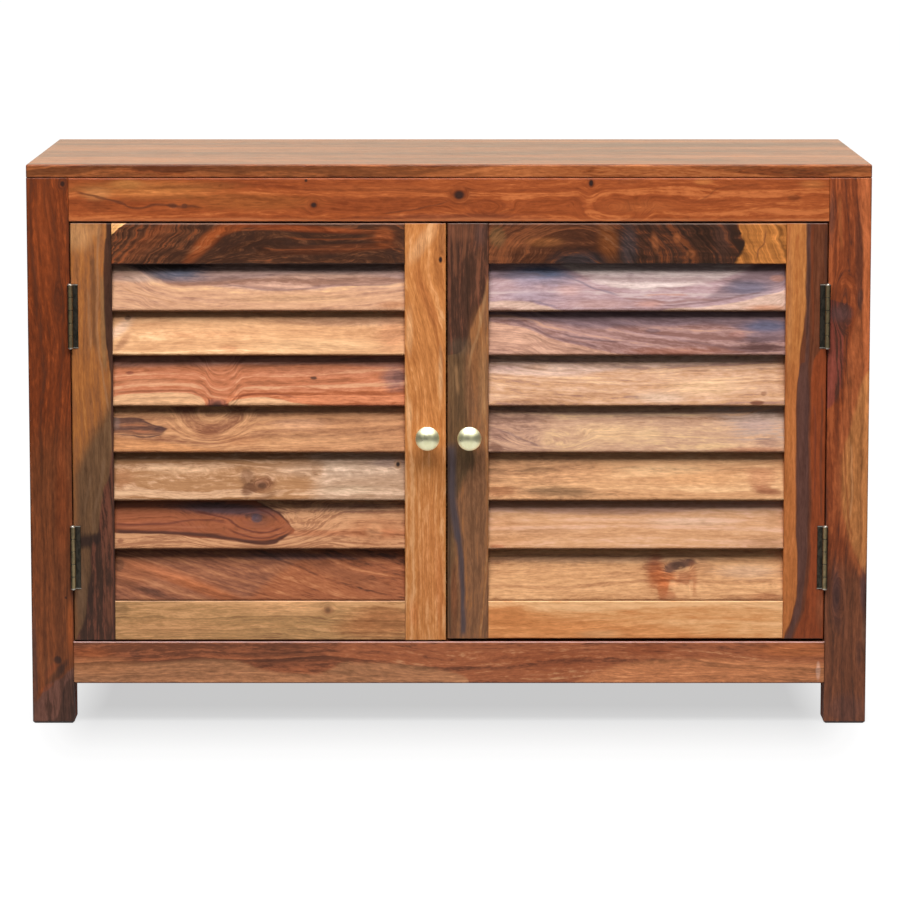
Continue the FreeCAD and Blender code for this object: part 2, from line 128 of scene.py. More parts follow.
def distance(tree, place):
    """How far a place is from the origin."""
    return node(tree, "ShaderNodeVectorMath", {0: place}, operation="LENGTH").outputs["Value"]


def ramp(tree, value, low, high, to_low=0.0, to_high=1.0, kind="SMOOTHSTEP"):
    """Map one range onto another, with soft ends."""
    inputs = {"Value": value, "From Min": low, "From Max": high, "To Min": to_low, "To Max": to_high}
    return node(tree, "ShaderNodeMapRange", inputs, interpolation_type=kind).outputs[0]


def mix(tree, amount, first, second):
    """Mix two values."""
    return node(tree, "ShaderNodeMix", {0: amount, 2: first, 3: second}).outputs[0]


def blend(tree, amount, first, second):
    """Mix two colours."""
    return node(tree, "ShaderNodeMix", {0: amount, 6: first, 7: second}, data_type="RGBA").outputs[2]


# %% [markdown]
# ## The studio
# One soft lamp hangs in front of the cabinet and above it, low enough to throw a short shadow
# under every louvre. The walls of the room are white, apart from a dim band straight ahead of
# the doors, where the camera would stand. Polished brass shows that band as a grey belt. Matte
# wood should get most of its light from the lamp, or the shadows would fill in. A Light Path
# node tells what a ray is for, so the room can give less light to matte surfaces.

# %% Colours are shown as they are
view = bpy.context.scene.view_settings
view.view_transform = "Standard"
view.look = "None"

# %% Light the room
world = bpy.data.worlds.new("studio")
bpy.context.scene.world = world
world.use_nodes = True
tree = world.node_tree
tree.nodes.clear()
direction = node(tree, "ShaderNodeTexCoord").outputs["Generated"]
parts = node(tree, "ShaderNodeSeparateXYZ", {0: direction}).outputs
ahead = ramp(tree, parts["Y"], 0.75, 0.3)
low_down = ramp(tree, parts["Z"], 0.56, 0.3)
band = maths(tree, "MULTIPLY", ahead, low_down)
band_light, matte_share = 0.15, 0.3
wall = ramp(tree, band, 0, 1, 1, band_light)
ray = node(tree, "ShaderNodeLightPath").outputs
strength = mix(tree, ray["Is Diffuse Ray"], wall, maths(tree, "MULTIPLY", wall, matte_share))
strength = mix(tree, ray["Is Camera Ray"], strength, 1.0)
white, cream_white = (1, 1, 1, 1), (1, 0.97, 0.76, 1)
cream = maths(tree, "MULTIPLY", ramp(tree, parts["Y"], 0.5, 0.9), ray["Is Glossy Ray"])
colour = blend(tree, cream, white, cream_white)
background = node(tree, "ShaderNodeBackground", {"Color": colour, "Strength": strength})
node(tree, "ShaderNodeOutputWorld", {"Surface": background.outputs[0]})

# %% Hang the lamp
lamp_data = bpy.data.lights.new("soft_lamp", "AREA")
lamp_data.shape = "RECTANGLE"
lamp_data.size = 2.6
lamp_data.size_y = 1.3
lamp_data.energy = 107
doors_middle = Vector((0, front, 0.35))
lamp = bpy.data.objects.new("soft_lamp", lamp_data)
lamp.location = (0, front - 1.24, 2.41)
lamp.rotation_euler = (doors_middle - lamp.location).to_track_quat("-Z", "Y").to_euler()
bpy.context.collection.objects.link(lamp)
print("lamp", round((lamp.location - doors_middle).length, 2), "m from the doors")

# %% [markdown]
# ### The floor
# The camera sees the floor glow white, with a painted shadow under the cabinet where the glow
# is dimmer. The painted shadow is a distance from a rounded rectangle, worked out from the middle
# of the floor. In reflections only, the floor has a painted glow, bright near the cabinet and dim
# far away.

# %% Lay the floor
shape = bmesh.new()
bmesh.ops.create_grid(shape, x_segments=1, y_segments=1, size=30)
floor_mesh = bpy.data.meshes.new("floor")
shape.to_mesh(floor_mesh)
shape.free()
floor = bpy.data.objects.new("floor", floor_mesh)
bpy.context.collection.objects.link(floor)
floor_material, tree, shader = new_material("pale_floor")
shader.inputs["Roughness"].default_value = 0.8
shader.inputs["Specular IOR Level"].default_value = 0.0
shader.inputs["Emission Color"].default_value = (1, 1, 1, 1)
shader.inputs["Base Color"].default_value = (0.1, 0.1, 0.1, 1)
# Painted shadow: the floor's glow is dimmest inside this half size and brightens away from it.
painted_shadow_half = (0.42, 0.1, 0)
painted_shadow_fall_per_metre = (16, 3.6, 0)
away = vector(tree, "ABSOLUTE", node(tree, "ShaderNodeTexCoord").outputs["Object"])
away = vector(tree, "MAXIMUM", vector(tree, "SUBTRACT", away, painted_shadow_half), (0, 0, 0))
away = distance(tree, vector(tree, "MULTIPLY", away, painted_shadow_fall_per_metre))
inner, outer = ramp(tree, away, 0, 1, 0.575, 0.83, "LINEAR"), ramp(tree, away, 1, 1.8, 0, 0.17)
ray = node(tree, "ShaderNodeLightPath").outputs
glow = maths(tree, "MULTIPLY", ray["Is Camera Ray"], maths(tree, "ADD", inner, outer))
# Painted reflection: rays looking for a reflection see the floor glow bright near the cabinet and dim far
# off.
glow = mix(tree, ray["Is Glossy Ray"], glow, ramp(tree, away, 3.2, 5, 0.8, 0.12))
tree.links.new(glow, shader.inputs["Emission Strength"])
floor_mesh.materials.append(floor_material)

# %% [markdown]
# ## Sheesham
# Sheesham is Indian rosewood. Its sapwood is cream to honey, and its heartwood runs from tan
# through rust to a purple black, often on one board. The figure of a board is built in layers:
#
# 1. A phase is worked out at each point. It rises from one growth line to the next, so lines of
#    equal phase are the grain. A flow curve bends them, and they ring round an eye or a knot.
# 2. Uneven noise along the phase gives lines of uneven width, and four tones are laid on them.
# 3. Zones of other tones lie between drawn curves, such as a heartwood edge. Thin lines
#    and oval patches are added in the same way.
# 4. Fine fibres and pores finish it, in colour, gloss and relief.
#
# Everything reads object coordinates. Places are millimetres from the middle of the cabinet
# and from the floor, as seen from the front: first x, then z.

# %% Mix the tones of the wood
tones = {
    "ink": (44, 28, 26), "coffee": (62, 38, 28), "umber": (80, 48, 38), "cocoa": (100, 66, 48),
    "plum": (104, 70, 66), "wine": (116, 54, 44), "mauve": (152, 118, 114), "lilac": (198, 166, 166),
    "slate": (82, 80, 96), "steel": (112, 122, 148), "smoke": (112, 94, 72), "moss": (150, 120, 82),
    "drab": (106, 76, 54),
    "rosewood": (106, 50, 26), "russet": (136, 64, 32), "rust": (164, 82, 42), "copper": (190, 106, 60),
    "coral": (208, 130, 90), "amber": (180, 108, 56), "honey": (202, 132, 74), "clay": (150, 98, 70),
    "tan": (204, 150, 106), "straw": (188, 144, 98), "sand": (226, 174, 126), "cream": (246, 202, 152),
    "blush": (214, 168, 146), "pearl": (226, 208, 196),
}


def linear(value):
    """One channel of a screen colour, 0 to 255, as linear light."""
    value = value / 255
    return value / 12.92 if value <= 0.04045 else ((value + 0.055) / 1.055) ** 2.4


def tone(name):
    """A named tone of the wood, or a mix such as 'rust/tan', as linear colour."""
    names = name.split("/")
    channels = zip(*(map(linear, tones[part]) for part in names))
    return (*[sum(channel) / len(names) for channel in channels], 1.0)


print(len(tones), "tones mixed")

# %% [markdown]
# ### Noise, curves and ovals
# Noise is stretched along the grain by giving each axis its own number of waves to a metre.
# A Float Curve node holds a drawn line, with its heights mapped onto 0 to 1. An oval is a
# distance measured in its own radii, which a Mapping node of the texture kind gives directly.

# %% Noise, curves and ovals


def noise(tree, place, waves, detail=2.0, roughness=0.5):
    """Noise between 0 and 1, with its own number of waves to a metre on each axis."""
    inputs = {"Vector": vector(tree, "MULTIPLY", place, waves), "Scale": 1.0, "Detail": detail,
              "Roughness": roughness}
    return node(tree, "ShaderNodeTexNoise", inputs).outputs["Fac"]


def nudge(tree, value, wave, size):
    """Add a noise to a value, counted from the noise's middle."""
    return maths(tree, "MULTIPLY_ADD", maths(tree, "SUBTRACT", wave, 0.5), size, value)


def drawn(tree, along, points):
    """The height of a drawn line above a point along the grain, in metres."""
    starts = [point[0] for point in points]
    heights = [point[1] for point in points]
    low, high = min(heights) - 1, max(heights) + 1
    share = ramp(tree, along, starts[0] * mm, starts[-1] * mm, kind="LINEAR")
    made = node(tree, "ShaderNodeFloatCurve", {"Value": share})
    line = made.mapping.curves[0]
    for index, (start, height) in enumerate(points):
        place = ((start - starts[0]) / (starts[-1] - starts[0]), (height - low) / (high - low))
        if index == 0:
            line.points[0].location = place
        elif index == len(points) - 1:
            line.points[-1].location = place
        else:
            line.points.new(*place)
    made.mapping.update()
    return ramp(tree, made.outputs[0], 0, 1, low * mm, high * mm, kind="LINEAR")


def oval(tree, flat, centre, radii, tilt=0):
    """Distance from a centre, in radii: 1 on the edge of the oval."""
    inputs = {"Vector": flat, "Location": (centre[0] * mm, centre[1] * mm, 0),
              "Rotation": (0, 0, math.radians(tilt)), "Scale": (radii[0] * mm, radii[1] * mm, 1)}
    return distance(tree, node(tree, "ShaderNodeMapping", inputs, vector_type="TEXTURE").outputs[0])


# %% [markdown]
# ### How coarse each layer is
# Wood has figure at every size, from sweeps as long as the board to pores finer than a hair.
# Each layer is one noise, given by its waves to a metre along the grain, across it and into it.

# %% Waves to a metre
sweep_waves = (2.2, 9, 9)
band_waves = (1.7, 15, 15)
stray_waves = (8, 50, 50)
mottle_waves = (30, 170, 170)
fleck_waves = (95, 430, 430)
fibre_waves = (24, 900, 900)
pore_waves = (60, 1300, 1300)

# %% [markdown]
# ### The figure of a board
# A board starts from the plain figure below and changes the values that it needs. Its tones go
# from dark to light. Places are x and z, sizes are millimetres, and a row of each list says:
#
# - `eyes`: x, z, half width, half height, how far it bends the grain, how dark its heart is
# - `burls`: x, z, half width, half height, how far its rings reach
# - `zones`: tone, strength, softness of the edge, the line it is past, the line it is short of
# - `patches`: x, z, half width, half height, tone, strength, and a tilt in degrees if it leans
# - `lines`: tone, strength, half width, points

# %% The figure of a plain board
plain_figure = dict(
    face="front",  # the face that is looked at
    shift=0,  # moves the noise, so that no two boards are alike
    staves=0,  # width of the staves of a glued-up panel
    rings=150,  # growth lines to a metre
    wander=1,  # how far the growth lines stray
    contrast=1,  # between dark and pale growth lines
    fibres=1,  # strength of the fine streaks
    roughness=0.36,  # of the finish
    stain=(1, 1, 1),  # a tint over the whole board
    fade=12,  # how far behind the front its features fade out
    worn=0,  # how strong the painted highlight is on an arris that looks up
    oiled=0.65,  # how dark the painted shade is on an arris that looks down
    roll=1.8,  # radius of the arrises
    lean=0,  # upward part of a face that leans back
    dull_side=0,  # the side that is rougher and has painted shade: -1 is left, 1 is right
    flow=None,  # a line that the grain follows
    eyes=(), burls=(), zones=(), patches=(), lines=(),
)
print(len(plain_figure), "values in the plain figure")

# %% [markdown]
# ### A place on the board
# A board is looked at on one face: front, above or side. The figure is drawn on that face, and
# the growth lines carry on into its thickness. What the later steps need is kept on the board,
# which is a plain object. A glued-up panel is cut into staves, and each stave moves the noise by
# an amount of its own.

# %% Find a place on the board
faces = {"front": "XZY", "above": "XYZ", "side": "YZX"}
stave_shift = 7
ragged_by_stray, ragged_by_mottle = 8 * mm, 4 * mm


def lay_out(name, figure):
    """Start a board's material, with the values that its layers share."""
    board = SimpleNamespace(**{**plain_figure, **figure})
    board.material, tree, board.shader = new_material(name)
    board.tree = tree
    place = node(tree, "ShaderNodeTexCoord").outputs["Object"]
    axes = node(tree, "ShaderNodeSeparateXYZ", {0: place}).outputs
    board.first, board.second, board.deep = (axes[letter] for letter in faces[board.face])
    board.flat = node(tree, "ShaderNodeCombineXYZ", {0: board.first, 1: board.second}).outputs[0]
    board.upright = board.along == faces[board.face][1]
    board.run, board.across = board.first, board.second
    if board.upright:
        board.run, board.across = board.second, board.first
    board.start, board.offset = board.shift, (board.shift,) * 3
    if board.staves:
        stave = maths(tree, "FLOOR", maths(tree, "DIVIDE", board.across, board.staves * mm))
        chance = node(tree, "ShaderNodeTexWhiteNoise", {"W": stave}, noise_dimensions="1D")
        board.chance = chance.outputs["Value"]
        board.start = board.offset = maths(tree, "MULTIPLY_ADD", board.chance, stave_shift, board.shift)
    place = node(tree, "ShaderNodeCombineXYZ", {0: board.run, 1: board.across, 2: board.deep}).outputs[0]
    place = vector(tree, "ADD", place, board.offset)
    board.sweep = noise(tree, place, sweep_waves)
    board.stray = noise(tree, place, stray_waves)
    board.mottle = noise(tree, place, mottle_waves, 2, 0.6)
    ragged = maths(tree, "MULTIPLY", maths(tree, "SUBTRACT", board.stray, 0.5), ragged_by_stray)
    board.ragged = nudge(tree, ragged, board.mottle, ragged_by_mottle)
    return board


# %% [markdown]
# ### Growth lines
# The phase rises from one growth line to the next, so lines of equal phase are the grain. An
# eye pushes the lines apart, a burl gathers them into rings, and a flow curve bends them all.
# Two slow noises keep them from running straight.

# %% Run the growth lines
moved_by_sweep, moved_by_stray = 70 * mm, 14 * mm
eye_ragged, eye_hold = 60, 0.9
core_far, core_near = 1.8, 0.9


def growth_phase(board):
    """The phase of the growth lines. Distances from the eyes are kept, for their dark hearts."""
    tree, phase = board.tree, board.across
    board.hearts = []
    for x, z, half_x, half_z, reach, dark in board.eyes:
        small = min(half_x, half_z)
        away = oval(tree, board.flat, (x, z), (half_x, half_z))
        away = maths(tree, "MULTIPLY_ADD", board.ragged, eye_ragged / small ** 0.5, away)
        near = maths(tree, "MULTIPLY", ramp(tree, away, reach, 0.5), eye_hold)
        phase = mix(tree, near, phase, (x if board.upright else z) * mm)
        core = maths(tree, "MULTIPLY", ramp(tree, away, core_far, core_near), away)
        phase = maths(tree, "MULTIPLY_ADD", core, small * mm, phase)
        board.hearts.append((away, dark))
    for x, z, half_x, half_z, reach in board.burls:
        away = oval(tree, board.flat, (x, z), (half_x, half_z))
        ringed = maths(tree, "MULTIPLY_ADD", away, min(half_x, half_z) * mm, z * mm)
        phase = mix(tree, ramp(tree, away, reach, reach * 0.4), phase, ringed)
    if board.flow:
        line = [(z, x) for x, z in board.flow] if board.upright else board.flow
        phase = maths(tree, "SUBTRACT", phase, drawn(tree, board.run, line))
    phase = nudge(tree, phase, board.sweep, moved_by_sweep * board.wander)
    return nudge(tree, phase, board.stray, moved_by_stray * board.wander)


# %% [markdown]
# ### Four tones
# Flecks and fibres run along the growth lines, because the phase is one of their coordinates.
# Noise along the phase gives lines of uneven width. Bands, mottle and flecks are added to it,
# and the sum picks a tone between the board's darkest and its palest.

# %% Lay the tones
tone_places = (0.3, 0.43, 0.57, 0.7)
tone_by_growth, tone_by_band, tone_by_mottle, tone_by_fleck, tone_by_stave = 0.9, 0.75, 0.45, 0.5, 0.2
phase_by_mottle = 5 * mm
fibre_slant, slant_into_board = 0.35, 0.6


def lay_tones(board, phase):
    """The board's colour before any feature is drawn on it."""
    tree = board.tree
    slanted = maths(tree, "MULTIPLY_ADD", board.across, fibre_slant, board.run)
    grain = node(tree, "ShaderNodeCombineXYZ", {0: slanted, 1: phase, 2: board.deep}).outputs[0]
    board.grain = vector(tree, "ADD", grain, board.offset)
    board.fleck = noise(tree, board.grain, fleck_waves, 3, 0.7)
    board.fibre = noise(tree, board.grain, fibre_waves, 3, 0.65)
    band = noise(tree, board.grain, band_waves)
    phase = nudge(tree, phase, board.mottle, phase_by_mottle * board.wander)
    phase = maths(tree, "MULTIPLY_ADD", board.deep, slant_into_board, phase)
    inputs = {"W": maths(tree, "MULTIPLY_ADD", phase, board.rings, board.start), "Scale": 1,
              "Detail": 4, "Roughness": 0.65}
    board.growth = node(tree, "ShaderNodeTexNoise", inputs, noise_dimensions="1D").outputs["Fac"]
    value = 0.5
    for wave, size in ((board.growth, tone_by_growth), (band, tone_by_band),
                       (board.mottle, tone_by_mottle), (board.fleck, tone_by_fleck)):
        value = nudge(tree, value, wave, size * board.contrast)
    if board.staves:
        value = nudge(tree, value, board.chance, tone_by_stave)
    board.value = value
    colours = node(tree, "ShaderNodeValToRGB", {0: value})
    steps = colours.color_ramp.elements
    for place, stop in zip(tone_places, board.tones):
        step = steps[0] if place == tone_places[0] else steps.new(place)
        step.position = place
        step.color = tone(stop)
    steps.remove(steps[-1])
    return colours.outputs[0]


# %% [markdown]
# ### Drawn features
# A zone is all that lies between two drawn lines, such as a flame of heartwood. Patches are
# ovals, lines are thin, and an eye has a dark heart. Each has a ragged edge. All of them fade
# out behind the front, so that the sides of a leg don't show them as stripes.

# %% Draw the features
line_fade_in = 12
large_patch, soft_edge, firm_edge = 12, 0.6, 0.35
streak_low, streak_high = 0.44, 0.6
halo_share = 0.55


def streaked(board, stop):
    """A tone that follows the growth lines. 'plum>rust' has rust streaks in plum."""
    dark, _, pale = stop.partition(">")
    made = tone(dark)[:3]
    if pale:
        amount = ramp(board.tree, board.value, streak_low, streak_high)
        made = blend(board.tree, amount, tone(dark), tone(pale))
    return vector(board.tree, "MULTIPLY", made, board.lively)


def past(board, points):
    """How far a place lies above a level line, or to the right of an upright one."""
    line, along_line, over = points, board.first, board.second
    if abs(points[-1][1] - points[0][1]) > abs(points[-1][0] - points[0][0]):
        line, along_line, over = [(z, x) for x, z in points], board.second, board.first
    over = maths(board.tree, "ADD", over, board.ragged)
    over = maths(board.tree, "SUBTRACT", over, drawn(board.tree, along_line, line))
    return over, along_line, line[0][0], line[-1][0]


def add_zone(board, colour, stop, strength, soft, low, high):
    """Colour what is past the line `low` and short of the line `high`."""
    amount = maths(board.tree, "MULTIPLY", board.shown, strength)
    for points, half in ((low, soft / 2 * mm), (high, -soft / 2 * mm)):
        if points:
            edge = ramp(board.tree, past(board, points)[0], -half, half)
            amount = maths(board.tree, "MULTIPLY", amount, edge)
    return blend(board.tree, amount, colour, streaked(board, stop))


def add_patch(board, colour, x, z, half_x, half_z, stop, strength, tilt=0):
    """Colour an oval. A large one has a softer edge."""
    away = oval(board.tree, board.flat, (x, z), (half_x, half_z), tilt)
    away = maths(board.tree, "ADD", away, board.wobble)
    edge = soft_edge if max(half_x, half_z) > large_patch else firm_edge
    amount = ramp(board.tree, away, 1 + edge, 1 - edge, 0, strength)
    amount = maths(board.tree, "MULTIPLY", amount, board.shown)
    return blend(board.tree, amount, colour, streaked(board, stop))


def add_line(board, colour, stop, strength, width, points):
    """Colour a thin line that thins out at both ends."""
    tree = board.tree
    over, along_line, start_at, end_at = past(board, points)
    away = maths(tree, "ABSOLUTE", over)
    begun = ramp(tree, along_line, (start_at - 1) * mm, (start_at + line_fade_in) * mm)
    unended = ramp(tree, along_line, (end_at + 1) * mm, (end_at - line_fade_in) * mm)
    amount = ramp(tree, away, width * mm, 0.2 * width * mm, 0, strength)
    for part in (maths(tree, "MULTIPLY", begun, unended), board.shown):
        amount = maths(tree, "MULTIPLY", amount, part)
    return blend(tree, amount, colour, tone(stop))


def add_heart(board, colour, away, dark):
    """Colour the middle of an eye and a halo round it."""
    tree = board.tree
    halo, middle = (2.4, 0.9, halo_share * dark, board.tones[0]), (1.2, 0.45, dark, "ink")
    for far, near, strength, stop in (halo, middle):
        amount = maths(tree, "MULTIPLY", ramp(tree, away, far, near, 0, strength), board.shown)
        colour = blend(tree, amount, colour, tone(stop))
    return colour


# %% [markdown]
# ### Grain, painted light on the arrises, and relief
# Growth lines show through every zone, and flecks, fibres and pores through everything. An
# arris that looks down gets painted shade, and one that looks up gets a pale painted highlight.
# A Bevel node finds an arris without new faces, because its normal turns as it nears one. The
# inner sides of the front legs are rougher and get painted shade. Dark grain is redder than
# pale grain, so blue takes more of the shading than red does.

# %% Finish the surface
light_by_growth, light_by_fibre, light_by_fleck, light_by_mottle = 0.3, 0.6, 0.55, 0.35
pore_from, pore_full, pore_dark = 0.66, 0.76, 0.3
side_painted_shade, side_rough = 0.5, 0.55
joint_half, joint_dark = 0.6 * mm, 0.35
shading_tint = (0.8, 1.0, 1.2)
fibre_relief, pore_relief, relief_height = 0.5, 0.5, 0.06 * mm


def finish_surface(board, colour):
    """Shade the colour along the grain, paint shade and highlight on the arrises, and give the board
    gloss and relief.
    """
    tree, shader = board.tree, board.shader
    light = nudge(tree, 1, board.growth, light_by_growth * board.contrast)
    for wave, size in ((board.fibre, light_by_fibre), (board.fleck, light_by_fleck),
                       (board.mottle, light_by_mottle)):
        light = nudge(tree, light, wave, size * board.fibres)
    pores = ramp(tree, noise(tree, board.grain, pore_waves, 1), pore_from, pore_full)
    light = maths(tree, "MULTIPLY_ADD", pores, -pore_dark, light)
    rough = ramp(tree, board.fibre, 0.3, 0.7, board.roughness - 0.04, board.roughness + 0.08)

    arris = node(tree, "ShaderNodeBevel", {"Radius": board.roll * mm}, samples=4).outputs[0]
    looks_up = node(tree, "ShaderNodeSeparateXYZ", {0: arris}).outputs[2]
    # Painted shade: an arris that looks down is darkened in the colour.
    looks_down = ramp(tree, looks_up, board.lean - 0.02, board.lean - 0.5)
    light = maths(tree, "MULTIPLY_ADD", looks_down, -board.oiled, light)
    # Painted shade on a leg's inner side, which is also made rougher.
    if board.dull_side:
        normal = node(tree, "ShaderNodeNewGeometry").outputs["Normal"]
        sideways = node(tree, "ShaderNodeSeparateXYZ", {0: normal}).outputs[0]
        dull_and_shaded = ramp(tree, maths(tree, "MULTIPLY", sideways, board.dull_side), 0.9, 0.99)
        light = maths(tree, "MULTIPLY_ADD", dull_and_shaded, -side_painted_shade, light)
        rough = maths(tree, "MULTIPLY_ADD", dull_and_shaded, side_rough, rough)
    # Painted highlight: an arris that looks up is paled towards lilac, but not a face that looks straight
    # up.
    painted_highlight = ramp(tree, looks_up, 0.3, 0.6, 0, board.worn)
    painted_highlight = maths(tree, "MULTIPLY", painted_highlight, ramp(tree, looks_up, 0.99, 0.9))
    colour = blend(tree, painted_highlight, colour, tone("lilac"))
    if board.staves:
        joint = maths(tree, "PINGPONG", board.across, board.staves / 2 * mm)
        light = maths(tree, "MULTIPLY_ADD", ramp(tree, joint, joint_half, 0), -joint_dark, light)

    light = vector(tree, "MULTIPLY_ADD", maths(tree, "SUBTRACT", light, 1), shading_tint, (1, 1, 1))
    colour = vector(tree, "MULTIPLY", vector(tree, "MULTIPLY", colour, board.stain), light)
    tree.links.new(colour, shader.inputs["Base Color"])
    tree.links.new(rough, shader.inputs["Roughness"])
    shader.inputs["Specular IOR Level"].default_value = 0.3
    relief = maths(tree, "MULTIPLY", board.fibre, fibre_relief)
    relief = maths(tree, "MULTIPLY_ADD", pores, -pore_relief, relief)
    inputs = {"Strength": 0.5, "Distance": relief_height, "Height": relief, "Normal": arris}
    tree.links.new(node(tree, "ShaderNodeBump", inputs).outputs[0], shader.inputs["Normal"])


# %% [markdown]
# ### The whole board
# A board is made by running the steps in turn. Features cover one another in the order zones,
# patches, lines and hearts. A door's stiles stand, and its rails and louvres lie. A louvre leans
# back and has a softer arris than the frame round it.

# %% Build a board of sheesham
fade_half = 4
lively_by_value = 1.5
wobble_by_ragged, wobble_by_growth, wobble_by_fleck = 70, 0.9, 0.8
# A door's frame gets a painted highlight on the arrises that look up.
door_edge = dict(fade=60, worn=0.4)
louvre_edge = dict(fade=60, roll=4.5, lean=0.2)


def sheesham(name, figure):
    """A board's material, from its figure."""
    board = lay_out(name, figure)
    colour = lay_tones(board, growth_phase(board))

    tree = board.tree
    board.shown = 1
    if board.face == "front":
        behind = maths(tree, "ADD", board.deep, board.ragged)
        faded, whole = front + (board.fade + fade_half) * mm, front + (board.fade - fade_half) * mm
        board.shown = ramp(tree, behind, faded, whole)
    board.lively = nudge(tree, 1, board.value, lively_by_value)
    wobble = maths(tree, "MULTIPLY", board.ragged, wobble_by_ragged)
    wobble = nudge(tree, wobble, board.growth, wobble_by_growth)
    board.wobble = nudge(tree, wobble, board.fleck, wobble_by_fleck)
    for add, features in ((add_zone, board.zones), (add_patch, board.patches), (add_line, board.lines)):
        for feature in features:
            colour = add(board, colour, *feature)
    for away, dark in board.hearts:
        if dark:
            colour = add_heart(board, colour, away, dark)
    finish_surface(board, colour)
    return board.material


def finish_board(name, **figure):
    """Give one board its own sheesham."""
    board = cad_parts[name]
    board.data.materials.clear()
    board.data.materials.append(sheesham(name + "_wood", figure))


def finish_stile(name, **figure):
    """Finish an upright board of a door."""
    finish_board(name, along="Z", **{**door_edge, **figure})


def finish_rail(name, **figure):
    """Finish a level board of a door's frame."""
    finish_board(name, along="X", **{**door_edge, **figure})


def finish_louvre(name, **figure):
    """Finish a louvre."""
    finish_board(name, along="X", **{**louvre_edge, **figure})


# %% [markdown]
# ### The case
# The legs and rails at the front are darker than the doors. The bottom of the left leg turns a
# purple brown, and a wedge of pale sapwood runs down the edge of the right leg.

# %% The front of the case
finish_board(
    "front_left_leg", along="Z", tones=("umber/rosewood", "rosewood", "rosewood/russet", "russet/rust"),
    rings=120, wander=0.7, shift=1.1, stain=(0.95, 0.88, 0.68), dull_side=1,
    eyes=((-457, 649, 3.1, 3.8, 3.5, 0.9), (-464, 509, 3.6, 16.7, 3, 0.25)),
    zones=(
        ("rosewood/drab", 0.6, 90, None, ((-503, 342), (-445, 354))),
        ("coffee/plum>plum", 0.92, 5, None, ((-531, 17), (-503, 23), (-492, 30), (-484, 46), (-474, 52),
            (-464, 55), (-456, 65), (-417, 79))),
        ("ink/coffee", 0.7, 6, None, ((-531, -16), (-474, 5), (-466, 24), (-462, 43), (-455, 55),
            (-417, 60)))),
    patches=(
        (-470, 77, 5, 4.5, "ink", 0.85), (-469, 62, 4.3, 16.7, "ink/coffee", 0.85, -40),
        (-478, 64, 3.6, 10.7, "russet/wine", 0.6, -35), (-484, 43, 9.5, 3, "russet/rust", 0.35, 35),
        (-497, 72, 3.1, 62, "ink/plum", 0.75), (-491, 85, 2.4, 19.1, "russet/clay", 0.5),
        (-454, 117, 3.6, 31, "rust/copper", 0.65), (-459, 153, 1.4, 1.7, "ink", 0.9),
        (-481, 65, 9.5, 14.3, "rosewood/clay", 0.4), (-479, 592, 11.9, 71.6, "russet/rust", 0.35),
        (-462, 270, 7.2, 71.6, "russet", 0.35)))
finish_board(
    "front_right_leg", along="Z", tones=("umber/rosewood", "rosewood/russet", "russet", "rust"),
    rings=110, wander=0.8, shift=2.3, stain=(0.9, 0.94, 1), dull_side=-1,
    eyes=((465, 155, 5.4, 17.9, 3.2, 0.45), (469, 509, 8.4, 23.9, 2.2, 0)),
    zones=(
        ("rosewood/drab", 0.7, 60, None, ((442, 191), (504, 198))),
        ("rust/copper", 0.7, 8, ((502, 169), (488, 186), (478, 210), (469, 239), (464, 268), (463, 296),
            (464, 325), (466, 354), (469, 382), (472, 411), (477, 455), (483, 485), (488, 513)), None),
        ("amber/honey", 0.85, 6, ((502, 177), (492, 192), (485, 210), (476, 239), (470, 268), (469, 296),
            (470, 325), (477, 354), (483, 382), (490, 411), (502, 430)), None),
        ("umber>wine", 0.8, 6, None, ((442, 380), (459, 389), (466, 407), (469, 437), (470, 473),
            (478, 487), (478, 501), (461, 509), (445, 513)))),
    lines=(
        ("russet/clay", 0.6, 3, ((477, 97), (476, 139), (473, 169), (470, 198))),
        ("rust/amber", 0.55, 3, ((466, 568), (464, 598), (464, 637))),
        ("tan/honey", 0.5, 2, ((480, 246), (482, 294), (478, 342))),
        ("russet", 0.5, 2, ((484, 222), (476, 270), (472, 330), (473, 389)))),
    patches=(
        (453, 611, 3.6, 31, "umber", 0.7), (486, 568, 4.8, 62, "umber/rosewood", 0.75),
        (488, 512, 3.6, 10.7, "umber", 0.7), (464, 495, 13.1, 8.4, "umber/plum", 0.8),
        (463, 160, 4.8, 31, "coffee/plum", 0.8), (466, 124, 6, 14.3, "umber", 0.5),
        (496, 163, 4.1, 26.2, "coffee/plum", 0.85), (497, 110, 2.4, 14.3, "clay", 0.6),
        (491, 85, 3.6, 19.1, "umber", 0.5), (476, 17, 26.2, 16.7, "umber/plum", 0.45)))
